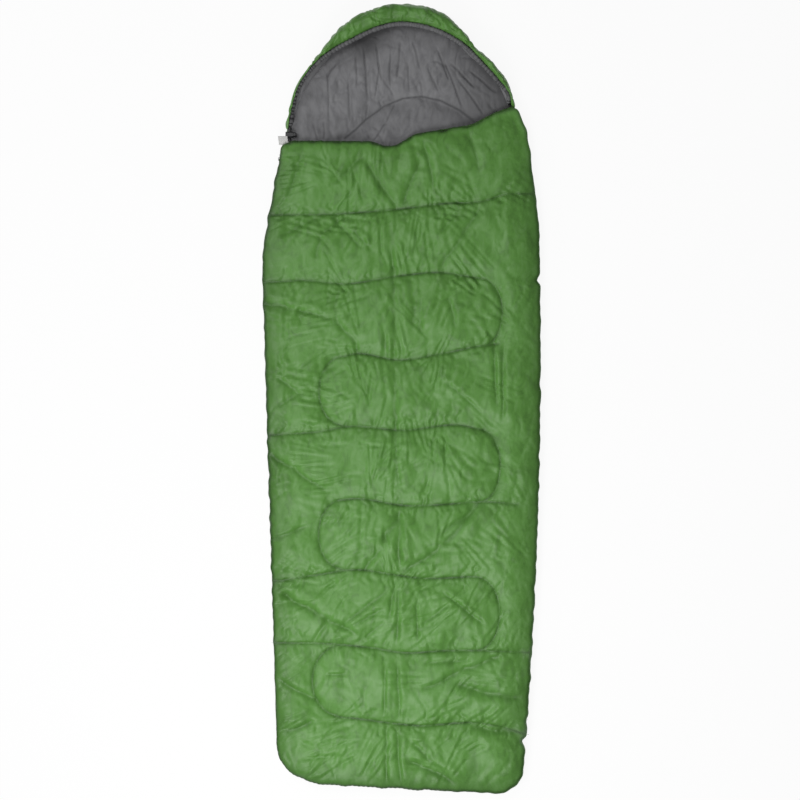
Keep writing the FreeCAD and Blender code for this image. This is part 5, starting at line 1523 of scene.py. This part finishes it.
def build_side_seam():
    """The cloth that joins back and front along the sewn side, from the zip's end to the collar.

    It has rows only beside each pad, so that it lies flat between them when
    the bag is opened out.
    """
    ring = nipped(outline_of("back_lining", -0.004))
    start = int(np.argmin(np.abs(ring[:, 0] - 0.268) + (ring[:, 1] > -0.9) * 9))
    ring = np.roll(ring, -start, axis=0)
    end = int(np.argmin(np.abs(ring[:, 1] - 0.770) + (ring[:, 0] < 0) * 9))
    line = evenly(ring[:end + 1], 0.005)
    wander = 0.0012 * smooth_noise(run_of(line), 95, 0.07, 0.02)
    low, high = BACK_TOP - 0.0010, FRONT_BASE + 0.0012
    rows = [raised(line + outwards_of_line(line) * (wander * share)[:, None], height)
            for height, share in ((low, 0.0), (low + 0.0005, 0.4), (high - 0.0005, 0.4), (high, 0.0))]
    piece = add_grid("side_gusset", np.array(rows))
    finish_with(piece, "edging")
    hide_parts("side_seam_binding")
    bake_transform(piece)


# ----------------------------------------------------------- the stage ----

# Area lamps: place, width in metres and power in watts
LAMPS = {
    "key": ((-1.1, 0.9, 3.2), 1.0, 29),
    "side": ((-3.2, 1.6, 1.9), 0.8, 19),
    "fill": ((-0.4, -1.3, 2.0), 1.2, 33),
}
FLOOR_REACH = 12.0
VIEW_WIDTH = 2.128


def build_stage():
    """Pale floor, soft light from the upper left, and a camera straight above the bag."""
    scene = bpy.context.scene
    scene.view_settings.view_transform = "Standard"
    floor_mesh = bpy.data.meshes.new("floor")
    corners = [(x * FLOOR_REACH, y * FLOOR_REACH, 0) for x, y in ((-1, -1), (1, -1), (1, 1), (-1, 1))]
    floor_mesh.from_pydata(corners, [], [(0, 1, 2, 3)])
    floor = bpy.data.objects.new("floor", floor_mesh)
    scene.collection.objects.link(floor)
    # The floor gives light only to the eye, so that it is white without lighting the bag from below
    material, tree, shader = new_material("floor_white_paper",
                                          {"Roughness": 0.9, "Base Color": (0.92, 0.92, 0.92, 1)})
    glow = add_node(tree, "ShaderNodeEmission", {"Color": (1, 1, 1, 1), "Strength": 1.0})
    ray = add_node(tree, "ShaderNodeLightPath")
    direct = add_node(tree, "ShaderNodeMath", {"operation": "MAXIMUM"},
                      {0: ray.outputs["Is Camera Ray"], 1: ray.outputs["Is Glossy Ray"]})
    through = add_node(tree, "ShaderNodeMath", {"operation": "MAXIMUM"},
                       {0: direct.outputs[0], 1: ray.outputs["Is Transmission Ray"]})
    seen = add_node(tree, "ShaderNodeMath", {"operation": "MULTIPLY", 1: 0.92}, {0: through.outputs[0]})
    mix = add_node(tree, "ShaderNodeMixShader",
                   links={0: seen.outputs[0], 1: shader.outputs[0], 2: glow.outputs[0]})
    tree.links.new(mix.outputs[0], tree.nodes["Material Output"].inputs["Surface"])
    floor_mesh.materials.append(material)

    world = bpy.data.worlds.new("studio")
    scene.world = world
    world.use_nodes = True
    background = world.node_tree.nodes["Background"].inputs
    background["Color"].default_value = (1, 1, 1, 1)
    background["Strength"].default_value = 0.22

    for name, (place, size, power) in LAMPS.items():
        light = bpy.data.lights.new(name, "AREA")
        light.energy = power
        light.size = size
        lamp = bpy.data.objects.new(name, light)
        scene.collection.objects.link(lamp)
        lamp.location = place
        aim = np.array(place) / np.linalg.norm(place)
        lamp.rotation_mode = "QUATERNION"
        lamp.rotation_quaternion = Vector(tuple(-aim)).to_track_quat("-Z", "Y")

    camera = bpy.data.cameras.new("camera")
    camera.lens = 85
    camera.sensor_width = 36
    eye = bpy.data.objects.new("camera", camera)
    scene.collection.objects.link(eye)
    far = VIEW_WIDTH / 2 / (camera.sensor_width / 2 / camera.lens)
    eye.location = (-0.0027, 0.0, 0.045 + far)
    scene.camera = eye


# ----------------------------------------------------------- operators ----

class BagOperator:
    """What every step of the bag has in common."""

    bl_options = {"REGISTER", "UNDO"}

    def execute(self, context):
        make_materials(context.scene.bag_colours)
        self.build(context.scene.bag_sizes)
        return {"FINISHED"}


class BAG_OT_front_cover(BagOperator, bpy.types.Operator):
    """Builds the quilted outer cloth of the front"""

    bl_idname = "bag.front_cover"
    bl_label = "Front cover"

    def build(self, sizes):
        build_front_cover(sizes)


class BAG_OT_linings(BagOperator, bpy.types.Operator):
    """Builds the inner cloth of the front and the back"""

    bl_idname = "bag.linings"
    bl_label = "Linings"

    def build(self, sizes):
        build_front_lining(sizes)
        build_back_lining(sizes)


class BAG_OT_back_cover(BagOperator, bpy.types.Operator):
    """Builds the outer cloth of the back"""

    bl_idname = "bag.back_cover"
    bl_label = "Back cover"

    def build(self, sizes):
        build_back_cover(sizes)


class BAG_OT_hood(BagOperator, bpy.types.Operator):
    """Builds the hood's outer cloth, its lining and the gathered hem"""

    bl_idname = "bag.hood"
    bl_label = "Hood"

    def build(self, sizes):
        build_hood_cover(sizes)
        build_hood_lining(sizes)
        build_rim_hem(sizes)


class BAG_OT_drawcord(BagOperator, bpy.types.Operator):
    """Builds the free end of the drawcord and its knot"""

    bl_idname = "bag.drawcord"
    bl_label = "Drawcord"

    def build(self, sizes):
        build_drawcord()


class BAG_OT_trim(BagOperator, bpy.types.Operator):
    """Builds the collar's binding, the sewn side and the bare label"""

    bl_idname = "bag.trim"
    bl_label = "Seams and label"

    def build(self, sizes):
        build_collar()
        build_side_seam()
        build_label()


class BAG_OT_zip(BagOperator, bpy.types.Operator):
    """Builds the zip's coils and finishes its sliders, pulls, stops and tapes"""

    bl_idname = "bag.zip"
    bl_label = "Zip"

    def build(self, sizes):
        build_zip(sizes)
        finish_hardware()


class BAG_OT_stage(BagOperator, bpy.types.Operator):
    """Sets up the floor, the light and the camera"""

    bl_idname = "bag.stage"
    bl_label = "Stage"

    def build(self, sizes):
        build_stage()


OPERATORS = (BAG_OT_front_cover, BAG_OT_linings, BAG_OT_back_cover, BAG_OT_hood, BAG_OT_drawcord,
             BAG_OT_trim, BAG_OT_zip, BAG_OT_stage)


class BAG_PT_panel(bpy.types.Panel):
    """Lists the bag's sizes, colours and steps"""

    bl_idname = "BAG_PT_panel"
    bl_label = "Sleeping bag"
    bl_space_type = "VIEW_3D"
    bl_region_type = "UI"
    bl_category = "Sleeping bag"

    def draw(self, context):
        for group in (context.scene.bag_sizes, context.scene.bag_colours):
            for name in group.__annotations__:
                self.layout.prop(group, name)
        for operator in OPERATORS:
            self.layout.operator(operator.bl_idname)


CLASSES = (BagSizes, BagColours, *OPERATORS, BAG_PT_panel)


def register():
    for item in CLASSES:
        bpy.utils.register_class(item)
    bpy.types.Scene.bag_sizes = PointerProperty(type=BagSizes)
    bpy.types.Scene.bag_colours = PointerProperty(type=BagColours)


def unregister():
    del bpy.types.Scene.bag_colours
    del bpy.types.Scene.bag_sizes
    for item in reversed(CLASSES):
        bpy.utils.unregister_class(item)


def main():
    register()
    bpy.ops.bag.front_cover()
    bpy.ops.bag.linings()
    bpy.ops.bag.back_cover()
    bpy.ops.bag.hood()
    bpy.ops.bag.drawcord()
    bpy.ops.bag.trim()
    bpy.ops.bag.zip()
    bpy.ops.bag.stage()


if __name__ == "__main__":
    main()
